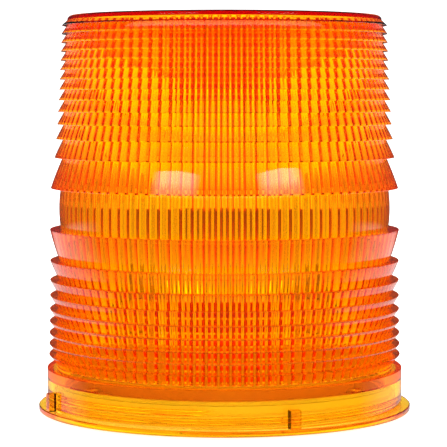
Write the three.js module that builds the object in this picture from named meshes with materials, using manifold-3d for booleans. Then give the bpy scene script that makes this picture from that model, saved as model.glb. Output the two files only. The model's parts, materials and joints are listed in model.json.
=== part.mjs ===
// Screw-on Fresnel warning beacon: an amber lens over a base, its strobe circuit and a plug-in tube.
// Millimetres, +Z up, origin at the centre of the mounting face.
import * as THREE from 'three';
import { mergeVertices } from 'three/addons/utils/BufferGeometryUtils.js';
import Module from 'manifold-3d';

const wasm = await Module();
wasm.setup();

// Clearances
const fitGap = 0.3;
const seatGap = 0.1;
const drillReach = 1;

// Facets round a full circle
const lensFacets = 48;
const coverFacets = 24;
const smallFacets = 12;

// Lens outside, heights above its own flange
const lensLift = 0.5;
const flangeRadius = 70;
const flangeHeight = 2.1;
const skirtRadius = 66.8;
const skirtHeight = 16;
const skirtLand = 1;
const beltBottom = 67.8;
const beltTop = 83.1;
const beltEdgeRadius = 61.5;
const beltBulge = 0.6;
const lensHeight = 147.4;
const topCornerRadius = 1.8;
const topDish = 0.4;
const wall = 3;
const ceilingChamfer = 1;

// Prism teeth: pitch and depth both ease off towards a floor with the tooth's number
const upperTeeth = { count: 14, pitchFloor: 2.47, pitchSpan: 8.93, depthFloor: 1.6, depthSpan: 2.4 };
const lowerTeeth = { count: 9, pitchFloor: 2.88, pitchSpan: 8.72, depthFloor: 2.9, depthSpan: 0.8 };
const upperRootRadius = 61.2;
const upperDraft = 0.039;
const lowerRootRadius = 61.9;
const lowerDraft = 0.025;

// Lens lugs
const lugCount = 4;
const lugAngle = -69;
const lugWidth = 4;
const lugTop = 8.7;
const lugRadius = 69.5;

// Screw thread, eight turns to the inch
const pitch = 3.175;
const boreRadius = 64.6;
const innerCrest = 63.4;
const coreRadius = 62.9;
const outerCrest = 64.2;
const crestWidth = { inner: 0.9, outer: 0.7 };
const flankSlope = 0.466;
const threadRootInset = 0.3;
const threadStartStep = -14;
const threadStartHeight = 1.8;
const innerSteps = 98;
const outerFirstStep = -10;
const outerSteps = 96;
const shoulderHeight = 11.9;

// Base, heights above the mounting face
const gasketRadius = 61;
const gasketThickness = 1.2;
const gasketHoleRadius = 11;
const baseBottom = gasketThickness + seatGap;
const baseFloor = baseBottom + 3;
const baseRim = 10.4;
const baseWallInside = 58.6;
const cableHoleRadius = 7;
const mountCircle = 54;
const mountHoleRadius = 2.8;
const mountAngles = [30, 150, 270];
const earCircle = 53.1;
const earAngles = [90, 210, 330];
const bossRadius = 3.4;
const bossTop = 8.3;
const pilotRadius = 1.3;
const pilotBottom = 3;
const pillarCircle = 37;
const pillarAngles = [90, 210, 330];
const pillarRadius = 3.2;
const pillarTop = 10.9;

// Circuit board
const boardRadius = 44;
const boardBottom = pillarTop + seatGap;
const boardThickness = 1.6;
const boardTop = boardBottom + boardThickness;
const partBase = boardTop + seatGap;
const wireHoleRadius = 7;

// Inner cover
const coverBottom = baseFloor + seatGap;
const coverTop = 38;
const coverFootRadius = 49.2;
const coverHeadRadius = 46.5;
const coverWall = 2;
const coverCorner = 3;
const earRadius = 5;
const earThickness = 2;
const earFlush = 0.5;

// Screws
const screwHead = { radius: 2.8, height: 1.7 };
const shankRadius = 1;
const boardScrewLength = 7;
const coverScrewLength = 6;
const clearHoleRadius = 1.6;

// Flash tube and socket
const socketFlange = { radius: 19, thickness: 3, screwCircle: 16.5 };
const socketRadius = 13;
const socketTop = 52;
const pinCircle = 7;
const pinAngles = [90, 210, 330];
const pinRadius = 1.2;
const pinBelow = 8;
const pinAbove = 3;
const plugBottom = socketTop + fitGap;
const plugTop = 60;
const envelopeRadius = 14;
const envelopeWall = 1.2;
const envelopeShoulder = 84;
const xenonRadius = 2.6;
const xenonLeg = 5.5;
const xenonFoot = 63.4;
const xenonBend = 82;

// Finishes
const finishes = {
  amber: { color: 0xf08a10, roughness: 0.05, metalness: 0, transparent: true, opacity: 0.6 },
  clear: { color: 0xf4f6f6, roughness: 0.03, metalness: 0, transparent: true, opacity: 0.35 },
  silicone: { color: 0xe8e6df, roughness: 0.5, metalness: 0 },
  white: { color: 0xf2f1ec, roughness: 0.4, metalness: 0 },
  rubber: { color: 0x1c1c1e, roughness: 0.85, metalness: 0 },
  board: { color: 0x1f6a3a, roughness: 0.5, metalness: 0 },
  sleeve: { color: 0x1d2a4a, roughness: 0.4, metalness: 0 },
  ferrite: { color: 0x35353a, roughness: 0.7, metalness: 0.1 },
  winding: { color: 0xe3b64a, roughness: 0.5, metalness: 0 },
  copper: { color: 0xb4622c, roughness: 0.35, metalness: 0.8 },
  epoxy: { color: 0x18181a, roughness: 0.6, metalness: 0 },
  aluminium: { color: 0xb8babd, roughness: 0.4, metalness: 1 },
  steel: { color: 0xc8c9cb, roughness: 0.3, metalness: 1 },
  terminal: { color: 0x2c7a46, roughness: 0.45, metalness: 0 },
  phenolic: { color: 0xe6e2d6, roughness: 0.45, metalness: 0 },
};

const beacon = new THREE.Group();

const radians = (degrees) => THREE.MathUtils.degToRad(degrees);

// Merge shared vertices, drop collapsed triangles and turn the faces outwards.
function weld(geometry) {
  const bare = geometry.clone();
  bare.deleteAttribute('normal');
  bare.deleteAttribute('uv');
  const merged = mergeVertices(bare, 1e-4);
  const spot = merged.getAttribute('position');
  const kept = [];
  let volume = 0;
  const corners = [new THREE.Vector3(), new THREE.Vector3(), new THREE.Vector3()];
  for (let i = 0; i < merged.index.count; i += 3) {
    const face = [0, 1, 2].map((k) => merged.index.getX(i + k));
    if (new Set(face).size < 3) continue;
    kept.push(...face);
    corners.forEach((corner, k) => corner.fromBufferAttribute(spot, face[k]));
    volume += corners[0].dot(corners[1].clone().cross(corners[2]));
  }
  if (volume < 0) {
    for (let i = 0; i < kept.length; i += 3) {
      [kept[i + 1], kept[i + 2]] = [kept[i + 2], kept[i + 1]];
    }
  }
  merged.setIndex(kept);
  return merged;
}

function toSolid(geometry) {
  const merged = weld(geometry);
  const vertProperties = new Float32Array(merged.getAttribute('position').array);
  const triVerts = new Uint32Array(merged.index.array);
  return new wasm.Manifold(new wasm.Mesh({ numProp: 3, vertProperties, triVerts }));
}

function toGeometry(solid) {
  const mesh = solid.getMesh();
  const geometry = new THREE.BufferGeometry();
  geometry.setAttribute('position', new THREE.BufferAttribute(new Float32Array(mesh.vertProperties), 3));
  geometry.setIndex(new THREE.BufferAttribute(new Uint32Array(mesh.triVerts), 1));
  return geometry;
}

// Join a list of geometries, then cut another list away.
function carve(joined, cuts = []) {
  let solid = toSolid(joined[0]);
  for (const extra of joined.slice(1)) solid = solid.add(toSolid(extra));
  for (const cut of cuts) solid = solid.subtract(toSolid(cut));
  return toGeometry(solid);
}

function addPart(name, finish, geometry) {
  const shape = weld(geometry);
  shape.computeVertexNormals();
  const mesh = new THREE.Mesh(shape, new THREE.MeshStandardMaterial(finishes[finish]));
  mesh.name = name;
  beacon.add(mesh);
  return mesh;
}

// Turn a closed [radius, height] outline about Z.
function turned(outline, facets) {
  const points = outline.map(([radius, height]) => new THREE.Vector2(radius, height));
  points.push(points[0].clone());
  const geometry = new THREE.LatheGeometry(points, facets);
  geometry.rotateX(Math.PI / 2);
  return geometry;
}

// A solid disc or washer between two heights.
function disc(outer, low, high, facets = smallFacets, inner = 0) {
  return turned([[inner, low], [outer, low], [outer, high], [inner, high]], facets);
}

function box(sizeX, sizeY, sizeZ, x, y, z) {
  const geometry = new THREE.BoxGeometry(sizeX, sizeY, sizeZ);
  geometry.translate(x, y, z);
  return geometry;
}

function onCircle(radius, degrees) {
  const angle = radians(degrees);
  return [radius * Math.cos(angle), radius * Math.sin(angle)];
}

function moved(geometry, [x, y], z = 0) {
  geometry.translate(x, y, z);
  return geometry;
}

// One helical ridge: a trapezoid swept in steps of one lens facet.
function threadRidge(rootRadius, crestRadius, crest, firstStep, steps, startHeight) {
  const outward = Math.sign(crestRadius - rootRadius);
  const inside = rootRadius - outward * threadRootInset;
  const rootHalf = crest / 2 + Math.abs(crestRadius - inside) * flankSlope;
  const section = [
    [inside, -rootHalf], [crestRadius, -crest / 2], [crestRadius, crest / 2], [inside, rootHalf],
  ];
  const places = [];
  for (let i = 0; i <= steps; i += 1) {
    const turn = (firstStep + i) / lensFacets;
    const angle = 2 * Math.PI * turn + (2 * Math.PI * threadStartStep) / lensFacets;
    for (const [radius, height] of section) {
      places.push(radius * Math.cos(angle), radius * Math.sin(angle), startHeight + pitch * turn + height);
    }
  }
  const faces = [0, 1, 2, 0, 2, 3];
  for (let i = 0; i < steps; i += 1) {
    for (let k = 0; k < 4; k += 1) {
      const a = i * 4 + k;
      const b = i * 4 + ((k + 1) % 4);
      faces.push(a, a + 4, b, b, a + 4, b + 4);
    }
  }
  const end = steps * 4;
  faces.push(end, end + 2, end + 1, end, end + 3, end + 2);
  const geometry = new THREE.BufferGeometry();
  geometry.setAttribute('position', new THREE.Float32BufferAttribute(places, 3));
  geometry.setIndex(faces);
  return geometry;
}

// Lens outline --------------------------------------------------------------

const upperRoot = (height) => upperRootRadius - (height - beltTop) * upperDraft;
const lowerRoot = (height) => lowerRootRadius + (beltBottom - height) * lowerDraft;
const innerRadius = (height) => (height > beltBottom ? upperRoot(height) : lowerRoot(height)) - wall;

// Tooth tips as [tip radius, tip height, height of the far end of its face].
function toothRow(teeth, startHeight, direction, rootAt) {
  const row = [];
  let height = startHeight;
  for (let k = 0; k < teeth.count; k += 1) {
    const next = height + (direction * (teeth.pitchFloor + teeth.pitchSpan / (k + 1)));
    const depth = teeth.depthFloor + teeth.depthSpan / (k + 1) ** 0.8;
    row.push([rootAt(height) + depth, height, next]);
    height = next;
  }
  return row;
}

function beltArc() {
  const steps = 6;
  const arc = [];
  for (let i = 0; i <= steps; i += 1) {
    const t = (2 * i) / steps - 1;
    const middle = (beltTop + beltBottom) / 2;
    arc.push([beltEdgeRadius + beltBulge * (1 - t * t), middle + (t * (beltTop - beltBottom)) / 2]);
  }
  return arc;
}

function lensOutline() {
  const outline = [[boreRadius, 0], [flangeRadius, 0], [flangeRadius, flangeHeight]];
  outline.push([skirtRadius, flangeHeight], [skirtRadius, skirtHeight]);
  outline.push([lowerRoot(skirtHeight), skirtHeight]);
  const lower = toothRow(lowerTeeth, beltBottom, -1, lowerRoot).reverse();
  for (const [tipRadius, tipHeight, faceEnd] of lower) {
    outline.push([lowerRoot(faceEnd), Math.max(faceEnd, skirtHeight + skirtLand)], [tipRadius, tipHeight]);
  }
  outline.push(...beltArc());
  const upper = toothRow(upperTeeth, beltTop, 1, upperRoot);
  const cornerCentre = lensHeight - topCornerRadius;
  for (const [tipRadius, tipHeight, faceEnd] of upper) {
    outline.push([tipRadius, tipHeight], [upperRoot(faceEnd), Math.min(faceEnd, cornerCentre)]);
  }
  const rim = upperRoot(cornerCentre) - topCornerRadius;
  for (const degrees of [30, 60, 90]) {
    const [across, up] = onCircle(topCornerRadius, degrees);
    outline.push([rim + across, cornerCentre + up]);
  }
  outline.push([0, lensHeight - topDish], [0, lensHeight - topDish - wall]);
  const ceiling = lensHeight - wall;
  const inside = innerRadius(lensHeight);
  outline.push([inside - ceilingChamfer, ceiling], [inside, ceiling - ceilingChamfer]);
  outline.push([innerRadius(shoulderHeight), shoulderHeight], [boreRadius, shoulderHeight]);
  return outline.map(([radius, height]) => [radius, height + lensLift]);
}

function lensLug(degrees) {
  const depth = lugRadius - skirtRadius + 1;
  const low = lensLift + flangeHeight - 0.5;
  const height = lensLift + lugTop - low;
  const geometry = box(depth, lugWidth, height, skirtRadius - 1 + depth / 2, 0, low + height / 2);
  geometry.rotateZ(radians(degrees));
  return geometry;
}

function buildLens() {
  const pieces = [turned(lensOutline(), lensFacets)];
  for (let k = 0; k < lugCount; k += 1) pieces.push(lensLug(lugAngle + (k * 360) / lugCount));
  pieces.push(threadRidge(boreRadius, innerCrest, crestWidth.inner, 0, innerSteps, threadStartHeight));
  addPart('lens', 'amber', carve(pieces));
}

function buildSeal() {
  const low = baseRim + seatGap;
  const high = lensLift + shoulderHeight - seatGap;
  addPart('lens_seal', 'silicone', disc(coreRadius, low, high, lensFacets, lowerRoot(high) - wall + fitGap));
}

// Base and its fittings -------------------------------------------------------

function buildGasket() {
  const holes = mountAngles.map((degrees) => moved(
    disc(mountHoleRadius + 0.2, -drillReach, gasketThickness + drillReach), onCircle(mountCircle, degrees)));
  const ring = disc(gasketRadius, 0, gasketThickness, lensFacets, gasketHoleRadius);
  addPart('mounting_gasket', 'silicone', carve([ring], holes));
}

function buildBase() {
  const cup = turned([
    [cableHoleRadius, baseBottom], [coreRadius, baseBottom], [coreRadius, baseRim],
    [baseWallInside, baseRim], [baseWallInside, baseFloor], [cableHoleRadius, baseFloor],
  ], lensFacets);
  const joined = [cup];
  const cuts = [];
  for (const degrees of earAngles) {
    const spot = onCircle(earCircle, degrees);
    joined.push(moved(disc(bossRadius, baseFloor - 0.5, bossTop), spot));
    cuts.push(moved(disc(pilotRadius, pilotBottom, bossTop + drillReach), spot));
  }
  for (const degrees of pillarAngles) {
    const spot = onCircle(pillarCircle, degrees);
    joined.push(moved(disc(pillarRadius, baseFloor - 0.5, pillarTop), spot));
    cuts.push(moved(disc(pilotRadius, pilotBottom, pillarTop + drillReach), spot));
  }
  for (const degrees of mountAngles) {
    cuts.push(moved(disc(mountHoleRadius, 0, baseFloor + drillReach), onCircle(mountCircle, degrees)));
  }
  const middle = threadStartHeight + pitch / 2;
  joined.push(threadRidge(coreRadius, outerCrest, crestWidth.outer, outerFirstStep, outerSteps, middle));
  addPart('base_plate', 'white', carve(joined, cuts));
}

function buildGrommet() {
  const lip = 2.5;
  const bore = 3.2;
  const neck = cableHoleRadius - fitGap;
  addPart('cable_grommet', 'rubber', turned([
    [bore, 0.2], [neck + lip, 0.2], [neck + lip, baseBottom - seatGap], [neck, baseBottom - seatGap],
    [neck, baseFloor + seatGap], [neck + lip, baseFloor + seatGap], [bore + 1.5, baseFloor + 3],
    [bore, baseFloor + 3],
  ], smallFacets));
}

// A pan-head screw standing on a face, its shank pointing down.
function screwShape(seat, shankLength) {
  const { radius, height } = screwHead;
  return turned([
    [0, seat - shankLength], [shankRadius, seat - shankLength], [shankRadius, seat],
    [radius, seat], [radius, seat + height * 0.5], [radius * 0.6, seat + height], [0, seat + height],
  ], smallFacets);
}

function buildBoard() {
  const holes = pillarAngles.map((degrees) => moved(
    disc(clearHoleRadius, boardBottom - drillReach, boardTop + drillReach), onCircle(pillarCircle, degrees)));
  const blank = disc(boardRadius, boardBottom, boardTop, coverFacets, wireHoleRadius);
  addPart('circuit_board', 'board', carve([blank], holes));
  pillarAngles.forEach((degrees, k) => {
    const screw = screwShape(boardTop + seatGap, boardScrewLength);
    addPart(`board_screw_${k + 1}`, 'steel', moved(screw, onCircle(pillarCircle, degrees)));
  });
}

// Strobe circuit ----------------------------------------------------------------

function buildCapacitor() {
  const radius = 8.5;
  const length = 34;
  const groove = 0.7;
  const can = turned([
    [0, 0], [radius - groove, 0], [radius, groove], [radius, 3], [radius - groove, 3.8], [radius, 4.6],
    [radius, length - groove], [radius - groove, length], [0, length],
  ], smallFacets);
  can.rotateY(Math.PI / 2);
  addPart('storage_capacitor', 'sleeve', moved(can, [-length / 2, 25], partBase + radius));
}

function buildTransformer() {
  const place = [-19, -8];
  const core = { width: 24, depth: 12, height: 20, leg: 3, outerLeg: 3, yoke: 4 };
  const slotWidth = core.width / 2 - core.leg - core.outerLeg;
  const slotHeight = core.height - 2 * core.yoke;
  const middle = partBase + core.height / 2;
  const slots = [-1, 1].map((side) => box(
    slotWidth, core.depth + 2, slotHeight, side * (core.leg + slotWidth / 2), 0, middle));
  const block = box(core.width, core.depth, core.height, 0, 0, middle);
  addPart('transformer_core', 'ferrite', moved(carve([block], slots), place));
  const coilWidth = 2 * (core.leg + slotWidth - fitGap);
  const coil = box(coilWidth, core.depth + 6, slotHeight - 2 * fitGap, 0, 0, middle);
  const hole = box(2 * (core.leg + fitGap), core.depth + 2 * fitGap, core.height, 0, 0, middle);
  addPart('transformer_winding', 'winding', moved(carve([coil], [hole]), place));
}

function buildCoils() {
  const trigger = turned([
    [0, 0], [5.5, 0], [5.5, 1.5], [4.4, 1.5], [4.4, 11.5], [5.5, 11.5], [5.5, 13], [0, 13],
  ], smallFacets);
  addPart('trigger_coil', 'copper', moved(trigger, [20, -14], partBase));
  const choke = new THREE.TorusGeometry(7.5, 3.2, 8, 14);
  addPart('choke_coil', 'copper', moved(choke, [25, 3], partBase + 3.2));
}

// An upright device bolted flat against a finned extrusion.
function buildSwitch() {
  const finRoot = 2;
  const finLength = 5;
  const finPitch = 4;
  const sinkWidth = 22;
  const sinkHeight = 18;
  const outline = new THREE.Shape();
  outline.moveTo(0, 0);
  outline.lineTo(sinkWidth, 0);
  outline.lineTo(sinkWidth, -finRoot);
  for (let x = sinkWidth - finPitch / 2; x > finPitch / 2; x -= finPitch) {
    outline.lineTo(x + 0.7, -finRoot);
    outline.lineTo(x + 0.5, -finRoot - finLength);
    outline.lineTo(x - 0.5, -finRoot - finLength);
    outline.lineTo(x - 0.7, -finRoot);
  }
  outline.lineTo(0, -finRoot);
  outline.closePath();
  const sink = new THREE.ExtrudeGeometry(outline, { depth: sinkHeight, bevelEnabled: false });
  addPart('heat_sink', 'aluminium', moved(sink, [-sinkWidth / 2 - 4, -32], partBase));
  const device = carve([box(10, 4.5, 9, 0, 0, 4.5), box(10, 1.3, 15, 0, -1.6, 7.5)]);
  addPart('power_transistor', 'epoxy', moved(device, [-4, -32 + 2.25 + seatGap], partBase));
  addPart('timer_chip', 'epoxy', box(9.5, 6.4, 3.4, 8, -11.5, partBase + 1.7));
}

function buildFuse() {
  const length = 20;
  const radius = 2.6;
  const centre = [-37, 6];
  const height = partBase + 5.2;
  const capLength = 5;
  const link = turned([
    [0, 0], [radius, 0], [radius, capLength], [radius - 0.4, capLength + 0.2],
    [radius - 0.4, length - capLength - 0.2], [radius, length - capLength], [radius, length], [0, length],
  ], smallFacets);
  link.rotateX(-Math.PI / 2);
  addPart('fuse', 'clear', moved(link, [centre[0], centre[1] - length / 2], height));
  [-1, 1].forEach((side, k) => {
    const middle = centre[1] + (side * (length - capLength)) / 2;
    const block = box(7.4, 3, 6.2, centre[0], middle, partBase + 3.1);
    const seat = disc(radius + fitGap, -4, 4, smallFacets);
    seat.rotateX(Math.PI / 2);
    addPart(`fuse_clip_${k + 1}`, 'steel', carve([block], [moved(seat, [centre[0], middle], height)]));
  });
}

function buildTerminals() {
  const centre = [14, -35];
  const height = 10;
  const gauge = 5;
  const body = box(2 * gauge + 1, 8, height, centre[0], centre[1], partBase + height / 2);
  const wells = [-1, 1].map((side) => moved(
    disc(1.9, partBase + 6, partBase + height + drillReach), [centre[0] + (side * gauge) / 2, centre[1]]));
  const mouths = [-1, 1].map((side) => box(
    3, 4, 3, centre[0] + (side * gauge) / 2, centre[1] - 3.5, partBase + 3));
  addPart('terminal_block', 'terminal', carve([body], [...wells, ...mouths]));
  [-1, 1].forEach((side, k) => {
    const screw = disc(1.9 - fitGap, partBase + 6 + seatGap, partBase + height - 0.8);
    addPart(`terminal_screw_${k + 1}`, 'steel', moved(screw, [centre[0] + (side * gauge) / 2, centre[1]]));
  });
}

// Inner cover ---------------------------------------------------------------------

function buildCover() {
  const foot = coverFootRadius;
  const head = coverHeadRadius;
  const leadHole = 6;
  const shell = turned([
    [foot - coverWall, coverBottom], [foot, coverBottom], [head, coverTop - coverCorner],
    [head - coverCorner * 0.3, coverTop - coverCorner * 0.3], [head - coverCorner, coverTop],
    [leadHole, coverTop], [leadHole, coverTop - coverWall], [head - coverCorner, coverTop - coverWall],
    [head - coverWall, coverTop - coverCorner],
  ], coverFacets);
  const joined = [shell];
  const cuts = [];
  const earBottom = bossTop + seatGap;
  const earTop = earBottom + earThickness;
  for (const degrees of earAngles) {
    const spot = onCircle(earCircle, degrees);
    joined.push(moved(disc(earRadius, earBottom, earTop), spot));
    cuts.push(moved(disc(clearHoleRadius, earBottom - drillReach, earTop + drillReach), spot));
  }
  // The ears end at the wall, so nothing of them stands inside it.
  const core = foot - coverWall - earFlush;
  cuts.push(disc(core, coverBottom - drillReach, earTop + drillReach, coverFacets));
  for (const degrees of [0, 180]) {
    const spot = onCircle(socketFlange.screwCircle, degrees);
    cuts.push(moved(disc(pilotRadius, coverTop - coverWall - drillReach, coverTop + drillReach), spot));
  }
  addPart('inner_cover', 'white', carve(joined, cuts));
  earAngles.forEach((degrees, k) => {
    const screw = screwShape(earTop + seatGap, coverScrewLength);
    addPart(`cover_screw_${k + 1}`, 'steel', moved(screw, onCircle(earCircle, degrees)));
  });
}

// Flash tube ------------------------------------------------------------------------

function buildSocket() {
  const low = coverTop + seatGap;
  const { radius, thickness, screwCircle } = socketFlange;
  const body = turned([
    [0, low], [radius, low], [radius, low + thickness], [socketRadius + 0.6, low + thickness],
    [socketRadius, socketTop], [0, socketTop],
  ], coverFacets);
  const holeBottom = socketTop - pinBelow - 1;
  const holes = pinAngles.map((degrees) => moved(
    disc(pinRadius + fitGap, holeBottom, socketTop + drillReach), onCircle(pinCircle, degrees)));
  const screwSpots = [0, 180].map((degrees) => onCircle(screwCircle, degrees));
  const screwHoles = screwSpots.map((spot) => moved(
    disc(clearHoleRadius, low - drillReach, low + thickness + drillReach), spot));
  addPart('tube_socket', 'phenolic', carve([body], [...holes, ...screwHoles]));
  const seat = low + thickness + seatGap;
  screwSpots.forEach((spot, k) => {
    addPart(`socket_screw_${k + 1}`, 'steel', moved(screwShape(seat, coverScrewLength), spot));
  });
}

function buildTube() {
  const plugRadius = envelopeRadius - 0.5;
  const seatRadius = envelopeRadius - envelopeWall - fitGap;
  const plug = turned([
    [0, plugBottom], [plugRadius - 1, plugBottom], [plugRadius, plugBottom + 1], [plugRadius, plugTop],
    [seatRadius, plugTop], [seatRadius, plugTop + 3], [0, plugTop + 3],
  ], coverFacets);
  const sockets = pinAngles.map((degrees) => moved(
    disc(pinRadius + fitGap, plugBottom - drillReach, plugBottom + pinAbove), onCircle(pinCircle, degrees)));
  addPart('tube_base', 'phenolic', carve([plug], sockets));
  pinAngles.forEach((degrees, k) => {
    const pin = turned([
      [0, plugBottom - pinBelow], [pinRadius * 0.5, plugBottom - pinBelow],
      [pinRadius, plugBottom - pinBelow + 1], [pinRadius, plugBottom + pinAbove - seatGap],
      [0, plugBottom + pinAbove - seatGap],
    ], smallFacets);
    addPart(`tube_pin_${k + 1}`, 'steel', moved(pin, onCircle(pinCircle, degrees)));
  });
  const outside = [];
  const inside = [];
  for (let k = 0; k <= 6; k += 1) {
    const [across, up] = onCircle(1, 15 * k);
    outside.push([k === 6 ? 0 : envelopeRadius * across, envelopeShoulder + envelopeRadius * up]);
    const hollow = envelopeRadius - envelopeWall;
    inside.unshift([k === 6 ? 0 : hollow * across, envelopeShoulder + hollow * up]);
  }
  const mouth = plugTop + seatGap;
  addPart('glass_envelope', 'clear', turned(
    [[envelopeRadius, mouth], ...outside, ...inside, [envelopeRadius - envelopeWall, mouth]], coverFacets));
}

function buildXenon() {
  const route = [];
  for (let k = 0; k < 4; k += 1) route.push([-xenonLeg, xenonFoot + (k * (xenonBend - xenonFoot)) / 4]);
  for (let k = 0; k <= 8; k += 1) {
    const [across, up] = onCircle(xenonLeg, 180 - 22.5 * k);
    route.push([across, xenonBend + up]);
  }
  for (let k = 3; k >= 0; k -= 1) route.push([xenonLeg, xenonFoot + (k * (xenonBend - xenonFoot)) / 4]);
  const path = new THREE.CatmullRomCurve3(route.map(([x, z]) => new THREE.Vector3(x, 0, z)));
  const section = new THREE.Shape();
  section.absarc(0, 0, xenonRadius, 0, 2 * Math.PI);
  const shape = new THREE.ExtrudeGeometry(section, {
    steps: 16, curveSegments: 4, bevelEnabled: false, extrudePath: path,
  });
  addPart('xenon_tube', 'clear', shape);
  [-1, 1].forEach((side, k) => {
    const low = xenonFoot + seatGap;
    const cap = disc(xenonRadius + 0.8, low, low + 4, smallFacets, xenonRadius + fitGap);
    addPart(`electrode_cap_${k + 1}`, 'steel', moved(cap, [side * xenonLeg, 0]));
  });
}

buildLens();
buildSeal();
buildGasket();
buildBase();
buildGrommet();
buildBoard();
buildCapacitor();
buildTransformer();
buildCoils();
buildSwitch();
buildFuse();
buildTerminals();
buildCover();
buildSocket();
buildTube();
buildXenon();

export default beacon;
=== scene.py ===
import math
import json
import bmesh
import bpy
import numpy as np
from mathutils import Matrix, Vector


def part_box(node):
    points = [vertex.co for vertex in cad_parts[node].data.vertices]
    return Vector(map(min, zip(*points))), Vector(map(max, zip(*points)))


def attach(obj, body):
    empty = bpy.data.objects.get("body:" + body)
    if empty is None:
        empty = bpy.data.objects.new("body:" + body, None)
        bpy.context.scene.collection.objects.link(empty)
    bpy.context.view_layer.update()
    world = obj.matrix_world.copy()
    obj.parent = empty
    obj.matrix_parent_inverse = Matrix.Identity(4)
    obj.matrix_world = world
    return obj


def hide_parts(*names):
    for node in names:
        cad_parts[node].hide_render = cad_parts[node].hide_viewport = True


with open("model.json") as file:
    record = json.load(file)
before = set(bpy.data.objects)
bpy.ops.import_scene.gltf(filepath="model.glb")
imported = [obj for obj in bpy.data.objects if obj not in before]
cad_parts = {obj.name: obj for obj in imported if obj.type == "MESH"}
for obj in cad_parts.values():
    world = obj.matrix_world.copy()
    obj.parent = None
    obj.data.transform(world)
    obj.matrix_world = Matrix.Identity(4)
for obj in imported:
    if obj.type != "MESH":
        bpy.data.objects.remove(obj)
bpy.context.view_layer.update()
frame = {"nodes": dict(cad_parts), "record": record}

mm = 0.001
print("frame loaded:", len(frame["nodes"]), "nodes")


# the camera, in millimetres from the middle of the mounting face
view = {"distance": 752.1, "height": 118.8, "pitch": 3.7135, "focal": 161.0, "shiftX": -0.0022}


def addCamera(v):
    data = bpy.data.cameras.new("frontView")
    data.lens = v["focal"]
    data.sensor_width = 36
    data.shift_x = v["shiftX"]
    data.clip_start = 0.01
    data.clip_end = 50
    cam = bpy.data.objects.new("frontView", data)
    cam.location = (0, -v["distance"] * mm, v["height"] * mm)
    cam.rotation_euler = (math.radians(90 - v["pitch"]), 0, 0)
    bpy.context.collection.objects.link(cam)
    bpy.context.scene.camera = cam


# strengths are set so that white reads as white; directions are those that a ray leaves the object in
studio = {
    "floorSize": 6.0, "floorTone": 0.9, "floorGlow": 0.8,
    "skyColour": (1.0, 1.0, 1.0), "skyStrength": 1.5,
    "roomStrength": 0.05,                       # what polished faces mirror
    "tableStrength": 1.0, "tableEdge": -0.12,   # and the pale table behind, in the same mirror
    "throughStrength": 1.55, "aboveGain": 1.7,  # seen straight through the lens, level and upward
    "panelEdge": 0.7, "panelSoft": 0.1,         # the bright panel behind, as the lens bends it into view
    "darkLevel": 0.28, "darkAbove": 0.86,       # the room beside the panel, at eye level and overhead
    "darkTint": (1.0, 0.55, 0.5), "levelLow": 0.15, "levelHigh": 0.5,
    "insideStrength": 3.0, "insideColour": (1.0, 0.6, 0.12),   # what lights the white parts inside
    "softboxes": [(-35.5, 34.8, 6.0), (41.0, 34.8, -6.0)],     # azimuth from the front, elevation, roll
    "boxReach": 1.1, "boxSize": (0.58, 0.173), "boxRadiance": 4.0, "boxAim": 0.09,
    "boxFadeLow": 0.55, "boxFadeSide": 0.22,
    "fillSize": 0.06, "fillHeight": 0.138, "fillPower": 0.036, "fillColour": (1.0, 0.5, 0.05),
    "bounces": 32, "glossBounces": 12,
}


def mathNode(tree, operation, a, b, c=0.0):
    node = tree.nodes.new("ShaderNodeMath")
    node.operation = operation
    for socket, value in zip(node.inputs, (a, b, c)):
        if isinstance(value, bpy.types.NodeSocket):
            tree.links.new(value, socket)
        else:
            socket.default_value = value
    return node.outputs[0]


def rampNode(tree, source, fromMin, fromMax, toMin=0.0, toMax=1.0):
    node = tree.nodes.new("ShaderNodeMapRange")
    tree.links.new(source, node.inputs["Value"])
    node.inputs["From Min"].default_value = fromMin
    node.inputs["From Max"].default_value = fromMax
    node.inputs["To Min"].default_value = toMin
    node.inputs["To Max"].default_value = toMax
    return node.outputs[0]


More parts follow.
